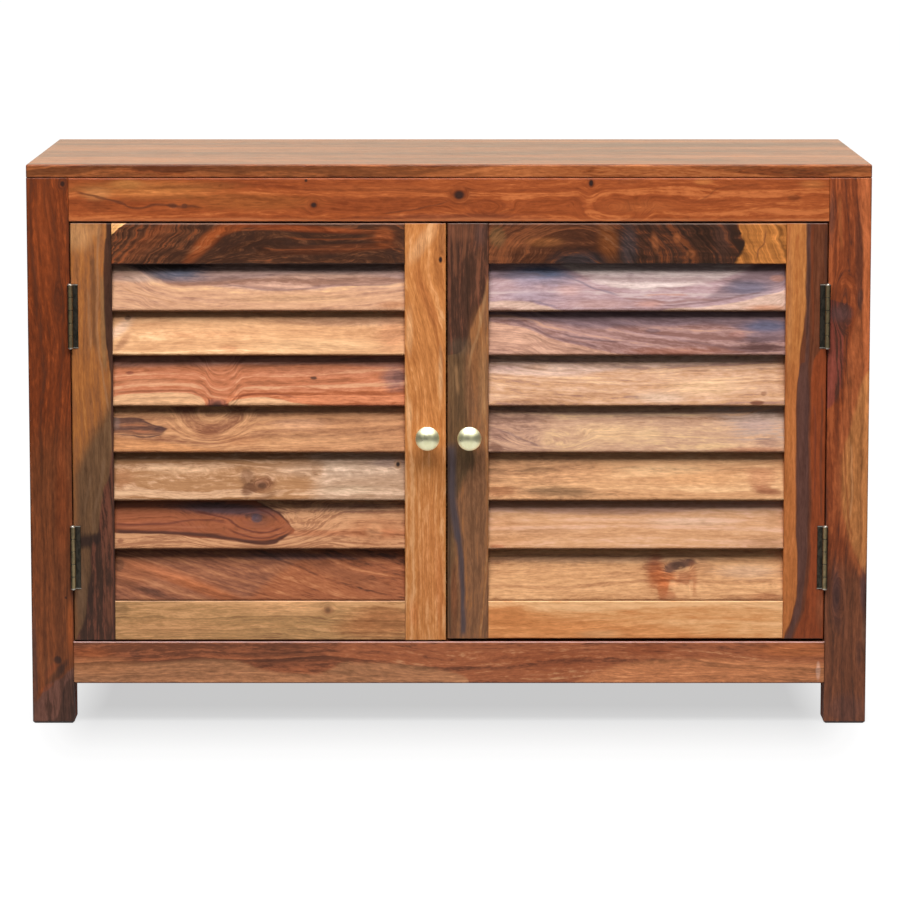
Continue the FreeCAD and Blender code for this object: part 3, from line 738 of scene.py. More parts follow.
finish_board(
    "front_top_rail", along="X", tones=("russet", "russet/rust", "rust", "copper"), rings=130,
    contrast=0.8, shift=6.1, stain=(0.91, 0.9, 0.8),
    eyes=((-160, 624, 4.3, 3.8, 4.5, 0.95), (12, 636, 7.4, 6.2, 3.6, 0.95), (168, 650, 3.1, 4.8, 6, 1),
        (212, 652, 14.3, 3.6, 2, 0.15)),
    burls=((49, 621, 14.3, 7.2, 2.6), (194, 621, 28.6, 14.3, 1.9)),
    lines=(
        ("copper/coral", 0.55, 3.4, ((-464, 606), (-178, 606), (180, 606), (466, 606))),
        ("umber/rosewood", 0.75, 2.2, ((-445, 640), (-416, 633), (-386, 626), (-371, 620), (-344, 624),
            (-327, 623), (-314, 622), (-302, 623), (-288, 615))),
        ("umber/rosewood", 0.5, 1.6, ((-83, 615), (-35, 620), (-5, 626), (3, 632))),
        ("rosewood", 0.45, 1.6, ((19, 614), (49, 611), (66, 617), (84, 621))),
        ("rosewood", 0.4, 1.8, ((287, 626), (306, 635), (325, 646), (371, 647)))),
    patches=(
        (-357, 642, 83.5, 9.5, "amber/honey", 0.55), (-381, 649, 16.7, 4.8, "honey", 0.6),
        (-417, 637, 16.7, 6, "honey/tan", 0.4), (-238, 628, 71.6, 9.5, "amber", 0.4),
        (-327, 623, 5.4, 3.1, "umber", 0.7), (-313, 623, 3.6, 2.6, "umber", 0.7),
        (-417, 622, 14.3, 4.8, "rosewood", 0.45), (-169, 653, 1.6, 1.6, "ink", 0.9),
        (15, 636, 14.3, 10.7, "rosewood", 0.45), (-83, 640, 71.6, 7.2, "rust/copper", 0.4),
        (1, 610, 107.4, 3.6, "plum/rosewood", 0.35), (408, 633, 7.2, 3.6, "rosewood", 0.6),
        (430, 649, 14.3, 4.8, "copper/honey", 0.5), (301, 652, 10.7, 3.6, "copper/honey", 0.5),
        (228, 622, 35.8, 6, "copper", 0.4)))
finish_board(
    "front_bottom_rail", along="X", tones=("rosewood/cocoa", "russet/clay", "clay/rust", "clay/tan"),
    rings=130, wander=1.1, shift=7.7, stain=(1.21, 1.17, 1.12), worn=0.75,
    zones=(
        ("clay/tan", 0.7, 6, None, ((-453, 71), (-357, 74), (-274, 78), (-223, 65), (-166, 60),
            (-118, 74), (-35, 70), (25, 46))),
        ("copper/tan", 0.6, 8, None, ((144, 46), (180, 62), (228, 74), (299, 77), (371, 77), (454, 74)))),
    patches=(
        (-422, 71, 40.6, 10.7, "copper/tan", 0.5), (-429, 86, 26.2, 6, "rust/copper", 0.5),
        (-381, 91, 35.8, 6, "russet/clay", 0.5), (-377, 85, 7.2, 4.8, "umber", 0.4),
        (-202, 85, 52.5, 8.4, "rosewood/cocoa", 0.55), (-195, 74, 35.8, 4.8, "rosewood/cocoa", 0.5),
        (239, 90, 31, 6, "rosewood/russet", 0.5), (118, 79, 59.7, 11.9, "rosewood/russet", 0.35),
        (418, 89, 47.7, 8.4, "copper/amber", 0.5), (443, 65, 2.6, 10.7, "blush", 0.7)))
print(len(bpy.data.materials), "materials so far")

# %% [markdown]
# ### The rest of the case
# The top is glued up from staves that run the length of the cabinet. The back, the sides and
# the boards inside are quieter, and each only needs its own place in the noise.

# %% The top, the sides, the back and the inside
front_edge = ((-500, front / mm + 0.3), (500, front / mm + 0.3))
finish_board("top_board", along="X", face="above", tones=("rosewood", "russet", "rust", "rust/copper"),
             shift=5.3, staves=92, wander=0.8, roughness=0.3, oiled=0.3, stain=(0.82, 0.98, 1),
             zones=(("rust/copper", 0.55, 0.4, None, front_edge),))
plain = ("russet", "rust", "copper", "honey")
panel = ("rosewood/russet", "russet/rust", "rust/amber", "honey")
plain_boards = {
    "rear_left_leg": ("Z", "side"), "rear_right_leg": ("Z", "side"),
    "rear_top_rail": ("X", "front"), "rear_bottom_rail": ("X", "front"),
    "left_top_side_rail": ("Y", "side"), "right_top_side_rail": ("Y", "side"),
    "left_bottom_side_rail": ("Y", "side"), "right_bottom_side_rail": ("Y", "side"),
    "left_shelf_cleat": ("Y", "side"), "right_shelf_cleat": ("Y", "side"),
    "door_stop_batten": ("X", "front"),
}
for number, (name, (along, face)) in enumerate(plain_boards.items()):
    finish_board(name, along=along, face=face, tones=plain, shift=8.1 + 0.83 * number, wander=0.9)
for number, name in enumerate(("left_side_panel", "right_side_panel")):
    finish_board(name, along="Z", face="side", tones=panel, shift=60.3 + number, staves=96)
finish_board("back_panel", along="X", face="front", tones=panel, shift=63.7, staves=110)
for number, name in enumerate(("bottom_board", "shelf")):
    finish_board(name, along="X", face="above", tones=plain, shift=65.9 + number, staves=100)

# %% [markdown]
# ### The left door
# Its frame is honey and tan with a dark top rail. The louvres change board by board, and the
# sixth has a long flame of rusty heartwood that ends in an eye.

# %% The left door
finish_stile(
    "left_hinge_stile", tones=("cocoa/amber", "clay/amber", "amber", "amber/honey"), rings=110,
    wander=0.8, contrast=0.9, shift=20.1, stain=(0.8, 0.83, 0.79),
    zones=(
        ("drab", 0.9, 20, ((-448, 300), (-436, 327), (-422, 354), (-407, 383), (-400, 404)), None),
        ("coffee/umber>cocoa/wine", 0.95, 3, ((-445, 102), (-439, 122), (-435, 141), (-433, 160),
            (-430, 181), (-429, 213), (-420, 231), (-416, 252), (-413, 280), (-405, 306),
            (-401, 342)), None),
        ("coffee/umber", 0.95, 2, ((-402, 423), (-406, 447), (-409, 467), (-409, 521), (-408, 566),
            (-405, 585)), None)),
    lines=(
        ("cocoa", 0.6, 5, ((-420, 449), (-422, 485), (-422, 527), (-423, 568))),
        ("clay/tan", 0.6, 2.6, ((-405, 377), (-408, 395), (-413, 427), (-417, 461), (-417, 521),
            (-416, 561), (-413, 603))),
        ("moss/smoke", 0.5, 4, ((-408, 423), (-411, 461), (-411, 509), (-411, 544))),
        ("clay/tan", 0.45, 2.4, ((-426, 447), (-427, 485), (-429, 527))),
        ("clay/smoke", 0.6, 3, ((-422, 227), (-424, 246), (-420, 270), (-414, 294), (-411, 324))),
        ("clay/smoke", 0.5, 2.4, ((-436, 252), (-431, 282), (-426, 306))),
        ("wine/clay", 0.45, 2, ((-405, 115), (-410, 151), (-412, 198), (-408, 222), (-405, 270)))),
    patches=(
        (-441, 589, 19.1, 16.7, "honey/sand", 0.65), (-418, 595, 7.2, 8.4, "honey/tan", 0.5),
        (-436, 221, 15.5, 7.8, "ink/coffee", 0.95, 12), (-422, 225, 6, 6, "ink/coffee", 0.9),
        (-441, 163, 5.4, 31, "clay/smoke", 0.75), (-436, 416, 10.7, 26.2, "amber", 0.45),
        (-406, 139, 3.6, 21.5, "clay/wine", 0.6), (-430, 151, 3.6, 26.2, "ink/coffee", 0.5)))
finish_rail(
    "left_door_top_rail", tones=("ink/coffee", "coffee", "umber/cocoa", "russet/cocoa"), rings=170,
    wander=1.8, contrast=1.1, fibres=1.5, shift=21.3, stain=(1.22, 1.05, 0.76),
    flow=((-401, 461), (-357, 509), (-309, 554), (-268, 583), (-223, 595), (-178, 591), (-130, 585),
        (-92, 595), (-53, 585)),
    burls=((-78, 547, 11.9, 10.7, 2.6),),
    zones=(
        ("cream/tan", 1, 1.2, ((-407, 583), (-401, 587), (-391, 595), (-380, 603), (-369, 611)), None),),
    lines=(
        ("russet/cocoa", 0.5, 1.4, ((-196, 585), (-142, 583), (-61, 587))),
        ("russet/cocoa", 0.45, 1.4, ((-223, 573), (-142, 571), (-56, 575))),
        ("rust/cocoa", 0.45, 1.6, ((-262, 593), (-178, 595), (-59, 593))),
        ("ink", 0.5, 2, ((-196, 579), (-130, 578), (-61, 580)))),
    patches=(
        (-288, 579, 31, 7.2, "russet/copper>clay", 0.7, 44),
        (-259, 596, 21.5, 4.8, "russet/copper", 0.6, 16),
        (-357, 580, 45.3, 9.5, "cocoa/rosewood", 0.55, 38),
        (-345, 595, 23.9, 3.6, "russet/cocoa", 0.5, 38), (-172, 596, 71.6, 3.6, "russet/rust", 0.6, -3),
        (-136, 572, 71.6, 4.8, "russet/cocoa", 0.4, 3), (-77, 586, 10.7, 10.7, "rust/copper", 0.4),
        (-78, 585, 16.7, 11.9, "russet/cocoa", 0.4), (-216, 573, 26.2, 9.5, "coffee", 0.5),
        (-315, 593, 10.7, 7.2, "coffee", 0.6), (-68, 566, 9.5, 6, "ink", 0.5)))
finish_rail(
    "left_door_bottom_rail", tones=("clay/moss", "moss/straw", "straw", "straw/sand"), rings=110,
    wander=0.9, shift=22.4, stain=(1.07, 0.98, 0.9), worn=0.15,
    eyes=((-145, 138, 3.6, 3.6, 4, 0.5),),
    patches=(
        (-145, 138, 6, 4.2, "russet/clay", 0.7), (-77, 124, 40.6, 19.1, "amber/clay", 0.65),
        (-192, 141, 54.9, 8.4, "sand", 0.55), (-395, 139, 11.9, 8.4, "drab/moss", 0.45),
        (-116, 115, 23.9, 9.5, "amber/clay", 0.4), (-333, 115, 71.6, 9.5, "straw/clay", 0.35)))
finish_stile(
    "left_meeting_stile", tones=("amber", "amber/honey", "honey", "honey/sand"), rings=100, wander=0.8,
    contrast=0.9, shift=23.2, stain=(1.01, 0.99, 0.96),
    flow=((-15, 103), (-15, 270), (-15, 359), (-18, 407), (-28, 461), (-40, 515), (-47, 554), (-45, 603)),
    eyes=((-10, 559, 2.6, 4.5, 3.5, 1),),
    zones=(
        ("amber/honey", 0.45, 14, ((-35, 365), (-42, 473), (-30, 544), (-11, 603)), ((-35, 294),
            (-21, 365), (-11, 509), (13, 603))),),
    patches=(
        (-30, 580, 7.2, 23.9, "sand", 0.45, -35), (-8, 583, 3.6, 23.9, "amber/cocoa", 0.6),
        (-25, 509, 6, 35.8, "copper/amber", 0.45, 22), (-10, 420, 2.4, 31, "sand", 0.6),
        (-47, 375, 3, 14.3, "sand", 0.5), (-11, 163, 4.8, 52.5, "copper/amber", 0.5),
        (-42, 133, 4.8, 16.7, "copper/amber", 0.5), (-23, 198, 11.9, 71.6, "copper/honey", 0.35),
        (-47, 473, 3.6, 23.9, "sand", 0.4)))
finish_louvre(
    "left_slat_1", tones=("clay/blush", "tan/blush", "sand/blush", "sand/cream"), rings=90, wander=0.9,
    contrast=0.7, fibres=0.85, shift=24.1, stain=(0.87, 0.83, 0.77),
    flow=((-401, 544), (-375, 538), (-345, 521), (-303, 512), (-53, 517)),
    zones=(
        ("mauve/clay>mauve/blush", 0.85, 4, ((-398, 559), (-369, 543), (-343, 534), (-317, 527),
            (-290, 527), (-264, 524), (-238, 522), (-212, 521), (-185, 521), (-159, 522), (-133, 525),
            (-107, 528), (-53, 531)), None),
        ("lilac/slate", 0.45, 6, ((-280, 532), (-238, 535), (-142, 541), (-53, 537)), None)),
    lines=(
        ("plum/mauve", 0.6, 2, ((-271, 531), (-238, 525), (-190, 522), (-142, 527), (-95, 528),
            (-59, 531))),
        ("mauve/clay", 0.5, 2, ((-264, 544), (-259, 532), (-238, 527), (-202, 524))),
        ("clay/tan", 0.5, 1.6, ((-391, 528), (-369, 518), (-339, 510), (-321, 505)))),
    patches=(
        # The ink oval at the top of this louvre is a painted shadow.
        (-321, 543, 32.2, 7.8, "slate/steel", 0.95), (-333, 551, 40.6, 6.2, "ink", 1),
        (-130, 547, 71.6, 8.4, "slate/smoke", 0.4), (-369, 537, 16.7, 4.8, "blush/pearl", 0.4),
        (-65, 505, 16.7, 4.8, "copper/tan", 0.5), (-80, 528, 47.7, 6, "mauve/blush", 0.4),
        (-178, 512, 71.6, 4.8, "sand/cream", 0.35)))
finish_louvre(
    "left_slat_2", tones=("tan", "tan/sand", "sand", "cream"), rings=80, contrast=0.75, fibres=0.85,
    shift=25.4, stain=(0.98, 0.94, 0.93),
    patches=(
        (-388, 460, 14.3, 4.2, "clay/tan", 0.8, 50), (-391, 476, 16.7, 6, "sand/pearl", 0.6, 40),
        (-68, 467, 17.9, 19.1, "tan/coral", 0.65), (-118, 484, 71.6, 4.8, "mauve/tan", 0.5),
        (-297, 469, 59.7, 3.6, "tan/copper", 0.4), (-382, 488, 3.6, 2.9, "umber", 0.6),
        (-154, 456, 71.6, 7.2, "cream", 0.45), (-262, 453, 10.7, 3.6, "coral/tan", 0.5)))
finish_louvre(
    "left_slat_3", tones=("clay/copper", "coral/copper", "coral", "coral/sand"), rings=100, wander=0.6,
    contrast=0.9, shift=26.2, stain=(0.86, 0.87, 0.92),
    flow=((-401, 407), (-321, 413), (-291, 404), (-271, 385), (-244, 406), (-178, 410), (-53, 416)),
    eyes=((-276, 386, 6, 4.1, 4, 0.6),),
    zones=(
        ("copper/rust>copper/coral", 0.85, 5, None, ((-264, 392), (-238, 400), (-190, 400), (-130, 402),
            (-47, 406))),
        ("sand/tan", 1, 1.6, None, ((-405, 393), (-400, 395), (-380, 399), (-348, 400), (-317, 399),
            (-302, 395), (-291, 389), (-286, 379), (-266, 379), (-262, 388), (-247, 392), (-226, 394),
            (-207, 392), (-183, 388), (-154, 385), (-107, 383), (-53, 382))),
        ("mauve/clay", 0.6, 5, ((-417, 429), (-345, 430), (-262, 432), (-53, 429)), None)),
    lines=(
        ("russet/clay", 0.6, 2, ((-401, 401), (-357, 402), (-315, 402), (-297, 396), (-284, 387))),
        ("russet/wine", 0.5, 1.6, ((-264, 391), (-244, 396), (-223, 398), (-178, 391))),
        ("russet/copper", 0.5, 1.8, ((-178, 410), (-142, 402), (-53, 399))),
        ("russet/clay", 0.5, 1.6, ((-281, 392), (-290, 406), (-302, 418)))),
    patches=(
        (-276, 387, 10.7, 5.4, "plum/wine", 0.85), (-161, 417, 4.1, 1.9, "ink", 0.8),
        (-380, 423, 4.8, 2.1, "wine", 0.6), (-64, 417, 14.3, 13.1, "mauve/plum", 0.65),
        (-60, 418, 6, 7.2, "plum", 0.5), (-154, 424, 59.7, 4.8, "clay/coral", 0.4),
        (-357, 412, 28.6, 3.6, "sand/coral", 0.4)))
finish_louvre(
    "left_slat_4", tones=("clay", "clay/tan", "tan", "tan/sand"), rings=90, wander=0.9, contrast=0.85,
    shift=27.5, stain=(0.93, 0.87, 0.84),
    burls=((-283, 374, 19.1, 13.1, 3),),
    zones=(
        ("clay/tan", 0.5, 40, ((-190, 324), (-183, 354), (-178, 383)), None),
        ("cocoa/plum>cocoa/clay", 0.92, 1.6, ((-411, 350), (-399, 351), (-382, 350), (-363, 348),
            (-348, 349), (-337, 354), (-331, 359)), ((-411, 375), (-399, 371), (-373, 370), (-354, 362),
            (-337, 356), (-331, 352))),
        ("honey/tan", 0.7, 5, None, ((-411, 346), (-369, 344), (-297, 334), (-250, 328)))),
    lines=(
        ("ink/plum", 0.75, 1.4, ((-400, 349), (-382, 349), (-363, 346), (-348, 348), (-336, 355))),
        ("ink/plum", 0.6, 1.2, ((-373, 369), (-354, 361), (-337, 355))),
        ("clay/coral", 0.7, 1.6, ((-383, 354), (-367, 352), (-352, 352))),
        ("clay/coral", 0.6, 1.4, ((-395, 359), (-375, 361), (-357, 357)))),
    patches=(
        (-345, 355, 6, 3.6, "ink/plum", 0.7), (-288, 351, 14.3, 6, "clay/russet", 0.5),
        (-250, 375, 83.5, 3.6, "smoke/clay", 0.4), (-398, 363, 6, 7.2, "mauve/smoke", 0.7),
        (-154, 342, 71.6, 7.2, "tan/sand", 0.4), (-178, 361, 31, 6, "sand/blush", 0.4),
        (-250, 342, 23.9, 6, "clay/amber", 0.35)))
finish_louvre(
    "left_slat_5", tones=("clay/tan", "tan/clay", "tan/blush", "sand/blush"), rings=90, wander=1.3,
    contrast=0.9, fibres=1.2, shift=28.3, stain=(0.94, 0.97, 0.89),
    eyes=((-223, 288, 6.6, 4.8, 3.4, 0.5), (-61, 313, 2.6, 3.1, 3, 1)),
    zones=(
        ("blush/pearl", 0.4, 30, ((-169, 268), (-157, 296), (-164, 324)), None),),
    patches=(
        (-223, 289, 13.1, 7.8, "rosewood/wine", 0.85, 12),
        (-238, 284, 11.9, 7.2, "cocoa/rosewood", 0.75, 40), (-241, 299, 8.4, 8.4, "clay/cocoa", 0.65, 30),
        (-393, 297, 14.3, 10.7, "clay/coral", 0.45), (-130, 306, 71.6, 9.5, "blush/pearl", 0.3),
        (-216, 277, 16.7, 3.6, "clay/cocoa", 0.5, 20), (-321, 306, 35.8, 4.8, "sand/blush", 0.5),
        (-268, 303, 16.7, 6, "clay/tan", 0.4), (-71, 315, 19.1, 6, "lilac/mauve", 0.5),
        (-157, 306, 7.2, 10.7, "clay/tan", 0.4), (-118, 283, 35.8, 4.8, "sand/pearl", 0.4)))
finish_louvre(
    "left_slat_6", tones=("clay/tan", "tan/clay", "tan/sand", "tan/sand"), rings=120, wander=1.2,
    contrast=0.9, shift=29.6, stain=(0.86, 0.78, 0.78),
    burls=((-230, 248, 14.3, 6.6, 7.5),),
    zones=(
        ("clay/copper>russet/clay", 1, 1.4, ((-405, 231), (-399, 231), (-334, 229), (-296, 225),
            (-259, 221), (-238, 217), (-223, 216), (-213, 217), (-202, 221), (-194, 226), (-188, 230),
            (-183, 237), (-178, 252)), ((-250, 294), (-231, 269), (-213, 260), (-202, 254), (-194, 247),
            (-188, 239), (-183, 233), (-178, 222))),
        ("copper/clay", 0.6, 5, ((-411, 241), (-297, 243), (-262, 235), (-250, 227)), ((-411, 259),
            (-321, 257), (-280, 249), (-250, 234)))),
    lines=(
        ("umber/ink", 0.85, 3.6, ((-405, 233), (-369, 232), (-334, 231), (-296, 228), (-259, 223),
            (-238, 219), (-223, 218), (-213, 219), (-202, 223), (-194, 228), (-185, 237))),
        ("umber/ink", 0.7, 2.4, ((-231, 268), (-213, 259), (-202, 253), (-194, 245), (-186, 237))),
        ("umber/wine", 0.6, 1.8, ((-405, 241), (-345, 241), (-297, 244), (-262, 239))),
        ("clay/coral", 0.5, 1.6, ((-393, 237), (-333, 237), (-286, 237))),
        ("umber/wine", 0.75, 2.2, ((-309, 256), (-268, 247), (-244, 235), (-223, 231), (-207, 235),
            (-195, 241))),
        ("umber/wine", 0.7, 2, ((-268, 237), (-244, 227), (-223, 223), (-202, 229), (-190, 238))),
        ("umber/wine", 0.75, 2.2, ((-235, 260), (-219, 256), (-209, 249), (-200, 241))),
        ("coral/clay", 0.6, 1.6, ((-252, 233), (-235, 229), (-216, 228), (-197, 235)))),
    patches=(
        (-230, 248, 6, 5, "slate", 0.95), (-268, 259, 59.7, 6.6, "umber/slate", 0.85, -3),
        (-223, 245, 14.3, 7.2, "umber/clay", 0.5, 20), (-393, 221, 3.6, 2.4, "clay", 0.7),
        (-85, 234, 33.4, 16.7, "clay/amber", 0.55), (-89, 234, 9.5, 9.5, "sand", 0.35, 50),
        (-118, 260, 59.7, 4.8, "mauve/smoke", 0.4)))
finish_louvre(
    "left_slat_7", tones=("cocoa/rosewood", "clay/rust", "copper/clay", "copper/tan"), rings=80,
    wander=0.7, contrast=0.8, shift=30.2, stain=(0.93, 0.93, 0.93),
    flow=((-401, 246), (-345, 227), (-262, 198), (-178, 169), (-118, 147), (-53, 129)),
    zones=(
        ("plum/clay>clay", 0.55, 16, ((-417, 31), (-297, 103), (-226, 163), (-154, 216)), None),),
    patches=(
        (-339, 181, 52.5, 7.2, "copper/coral", 0.6, -16), (-286, 160, 47.7, 6, "copper", 0.55, -18),
        (-130, 182, 59.7, 8.4, "rosewood/clay", 0.45, -18), (-381, 181, 19.1, 14.3, "copper/clay", 0.5),
        (-178, 201, 71.6, 3.6, "cocoa/slate", 0.5), (-395, 191, 4.8, 7.2, "cocoa", 0.5)))
print(len(bpy.data.materials), "materials so far")

# %% [markdown]
# ### The right door
# Its top louvres are the palest and pinkest boards of the cabinet, with a bluish bloom, and its
# hinge stile has a dark ribbon of heartwood from top to bottom.

# %% The right door
finish_stile(
    "right_hinge_stile", tones=("amber/copper", "amber/honey", "honey", "honey/tan"), rings=90,
    wander=0.7, contrast=0.8, shift=31.1, stain=(0.9, 0.87, 0.8),
    zones=(
        ("amber/copper", 0.75, 60, None, ((395, 435), (454, 449))),
        ("umber/rosewood", 0.95, 2.5, ((402, 102), (405, 113), (414, 139), (417, 163), (417, 192),
            (415, 222), (414, 256), (414, 342), (414, 399), (417, 427), (418, 455), (421, 485),
            (423, 513), (423, 568), (423, 603)), None),
        ("coffee/plum", 0.85, 3, ((403, 102), (408, 115), (416, 145), (418, 181), (416, 216), (415, 256),
            (415, 377), (416, 413), (423, 437)), ((410, 102), (415, 115), (424, 151), (428, 198),
            (429, 246), (428, 389), (428, 437))),
        ("russet", 0.92, 3, ((414, 102), (418, 115), (428, 151), (432, 198), (432, 256), (432, 342),
            (432, 399), (433, 427), (439, 447), (452, 467)), None)),
    lines=(
        ("russet/rosewood", 0.6, 2.4, ((432, 461), (432, 509), (430, 556), (430, 603))),
        ("coffee", 0.6, 2, ((424, 461), (426, 509), (426, 580))),
        ("ink/umber", 0.6, 2.4, ((446, 449), (446, 509), (446, 598))),
        ("umber/wine", 0.5, 2, ((436, 270), (438, 330), (436, 389))),
        ("umber", 0.5, 2, ((445, 246), (445, 330), (445, 413))),
        ("amber/rosewood", 0.4, 1.6, ((414, 449), (418, 507), (420, 603)))),
    patches=(
        (404, 509, 3.6, 71.6, "honey/tan", 0.4), (426, 359, 3, 47.7, "ink/plum", 0.5),
        (445, 139, 4.8, 21.5, "clay/russet", 0.5)))
finish_rail(
    "right_door_top_rail", tones=("coffee/ink", "coffee", "umber", "russet/cocoa"), rings=150, wander=1.2,
    contrast=1.2, fibres=1.3, shift=32.4, stain=(0.77, 0.74, 0.58),
    burls=((149, 542, 19.1, 16.7, 32),),
    zones=(
        ("amber/honey", 0.95, 1.4, ((336, 547), (340, 559), (347, 569), (351, 578), (348, 586),
            (343, 597), (341, 606)), None),
        ("russet/cocoa>clay/russet", 0.45, 40, None, ((180, 544), (187, 580), (180, 616)))),
    lines=(
        ("ink/coffee", 0.8, 4, ((336, 547), (340, 559), (348, 573), (349, 590))),
        ("russet/clay", 0.8, 1.6, ((364, 554), (368, 571), (375, 583), (373, 599)))),
    patches=(
        (154, 559, 28.6, 8.4, "ink/slate>umber", 0.8), (84, 580, 52.5, 7.2, "russet/clay", 0.5, 24),
        (189, 580, 10.7, 19.1, "russet/amber>clay", 0.6, 12), (114, 580, 19.1, 4.8, "amber/clay", 0.6),
        (213, 575, 9.5, 23.9, "coffee/slate", 0.65), (244, 580, 4.2, 11.9, "russet/clay", 0.7, 10),
        (299, 574, 14.3, 23.9, "coffee", 0.5), (270, 585, 4.8, 6, "rust/clay", 0.6),
        (287, 566, 6, 4.8, "rust/clay", 0.5), (57, 587, 9.5, 11.9, "moss/umber", 0.5),
        (323, 580, 9.5, 23.9, "coffee/plum", 0.5)))
finish_rail(
    "right_door_bottom_rail", tones=("honey/copper", "honey/tan", "tan/sand", "sand/tan"), rings=60,
    wander=0.8, contrast=0.5, fibres=0.7, shift=33.2, stain=(1.34, 1.38, 1.35), worn=0,
    zones=(
        ("honey/copper>honey", 0.6, 16, None, ((37, 144), (84, 136), (156, 129), (239, 122), (299, 110),
            (406, 93))),),
    patches=(
        (66, 132, 28.6, 14.3, "copper/honey", 0.55), (132, 115, 71.6, 7.2, "copper/honey", 0.45),
        (180, 109, 23.9, 4.8, "sand/tan", 0.4)))
finish_stile(
    "right_meeting_stile", tones=("cocoa/clay", "clay", "clay/amber", "clay/tan"), rings=120, wander=0.8,
    contrast=0.9, shift=34.3, stain=(0.83, 0.89, 0.79),
    zones=(
        ("drab", 0.85, 9, ((-4, 306), (-4, 447), (-11, 461)), ((7, 270), (20, 300), (27, 330), (21, 354),
            (19, 413), (20, 473))),
        ("umber>cocoa/wine", 0.95, 3.5, None, ((-23, 442), (-3, 445), (14, 450), (21, 463), (26, 480),
            (32, 494), (40, 509), (45, 529), (51, 547)))),
    lines=(
        ("umber/slate", 0.9, 8, ((12, 216), (8, 237), (4, 270), (3, 306), (2, 342))),
        ("umber/slate", 0.9, 5, ((16, 102), (16, 139), (15, 175), (14, 196), (12, 216), (9, 240))),
        ("clay/wine", 0.7, 3, ((16, 554), (19, 580), (19, 603))),
        ("clay/wine", 0.6, 3, ((9, 538), (6, 574), (4, 603))),
        ("clay/wine", 0.6, 3, ((32, 509), (35, 544), (35, 574))),
        ("coffee", 0.6, 3, ((24, 487), (22, 521), (22, 562))),
        ("tan/clay", 0.6, 2.4, ((22, 423), (26, 449), (34, 473), (40, 497), (44, 523))),
        ("tan/clay", 0.55, 2.4, ((9, 395), (8, 419), (7, 437))),
        ("tan/clay", 0.4, 2, ((21, 365), (21, 394))),
        ("ink/umber", 0.6, 2, ((1, 102), (0, 198), (0, 336)))),
    patches=(
        (35, 449, 9.5, 40.6, "clay/amber", 0.6), (41, 407, 4.8, 47.7, "tan/clay", 0.5),
        (15, 592, 16.7, 10.7, "clay/wine", 0.55), (38, 590, 7.2, 14.3, "umber/plum", 0.75),
        (6, 153, 3.8, 35.8, "clay/russet", 0.85), (18, 315, 11.9, 16.7, "drab", 0.7),
        (3, 103, 6, 19.1, "clay/russet", 0.5), (13, 455, 14.3, 9.5, "plum/smoke", 0.5),
        (25, 324, 9.5, 9.5, "moss/umber", 0.4)))
finish_louvre(
    "right_slat_1", tones=("mauve", "mauve/lilac", "lilac", "lilac/pearl"), rings=80, wander=1.2,
    contrast=0.7, fibres=0.8, shift=35.1, stain=(0.75, 0.7, 0.72),
    flow=((46, 525), (132, 521), (228, 513), (299, 512), (398, 528)),
    zones=(
        ("lilac/pearl>pearl", 0.85, 6, ((132, 554), (150, 543), (180, 531), (211, 524), (251, 523),
            (299, 529), (341, 542), (406, 568)), None),
        ("pearl/sand", 0.85, 2, None, ((37, 507), (60, 510), (84, 510), (108, 505), (130, 499),
            (156, 491), (228, 490), (245, 494), (263, 500), (313, 504), (344, 509), (375, 516),
            (396, 522), (406, 527))),
        ("slate/mauve", 0.7, 9, ((329, 511), (359, 517), (375, 522), (401, 528)), ((299, 509), (329, 528),
            (353, 544), (401, 568)))),
    lines=(
        ("mauve/steel", 0.6, 2, ((132, 540), (156, 532), (180, 522), (204, 516))),
        ("mauve/clay", 0.6, 2.4, ((204, 513), (237, 512), (263, 509), (290, 511), (317, 510))),
        ("plum/mauve", 0.6, 1.8, ((239, 506), (266, 505), (290, 507), (312, 509), (347, 515),
            (375, 521))),
        ("steel/mauve", 0.6, 2, ((94, 511), (114, 506), (132, 501))),
        ("coral/blush", 0.5, 1.8, ((228, 517), (251, 517), (287, 516)))),
    patches=(
        (108, 542, 33.4, 8.4, "steel", 1), (92, 534, 16.7, 8.4, "steel/lilac", 0.7),
        (130, 531, 19.1, 6, "steel/lilac", 0.7), (101, 516, 31, 7.2, "steel/lilac", 0.55),
        (68, 541, 21.5, 4.8, "steel/mauve", 0.5), (142, 522, 14.3, 6, "blush/lilac", 0.7),
        (60, 499, 21.5, 3.6, "clay/mauve", 0.7), (180, 506, 35.8, 4.8, "mauve/blush", 0.5),
        (390, 536, 9.5, 4.2, "blush/coral", 0.5), (378, 501, 26.2, 4.2, "coral/tan", 0.7),
        (239, 506, 16.7, 3.6, "coral/blush", 0.5), (356, 525, 26.2, 8.4, "steel/slate", 0.6)))
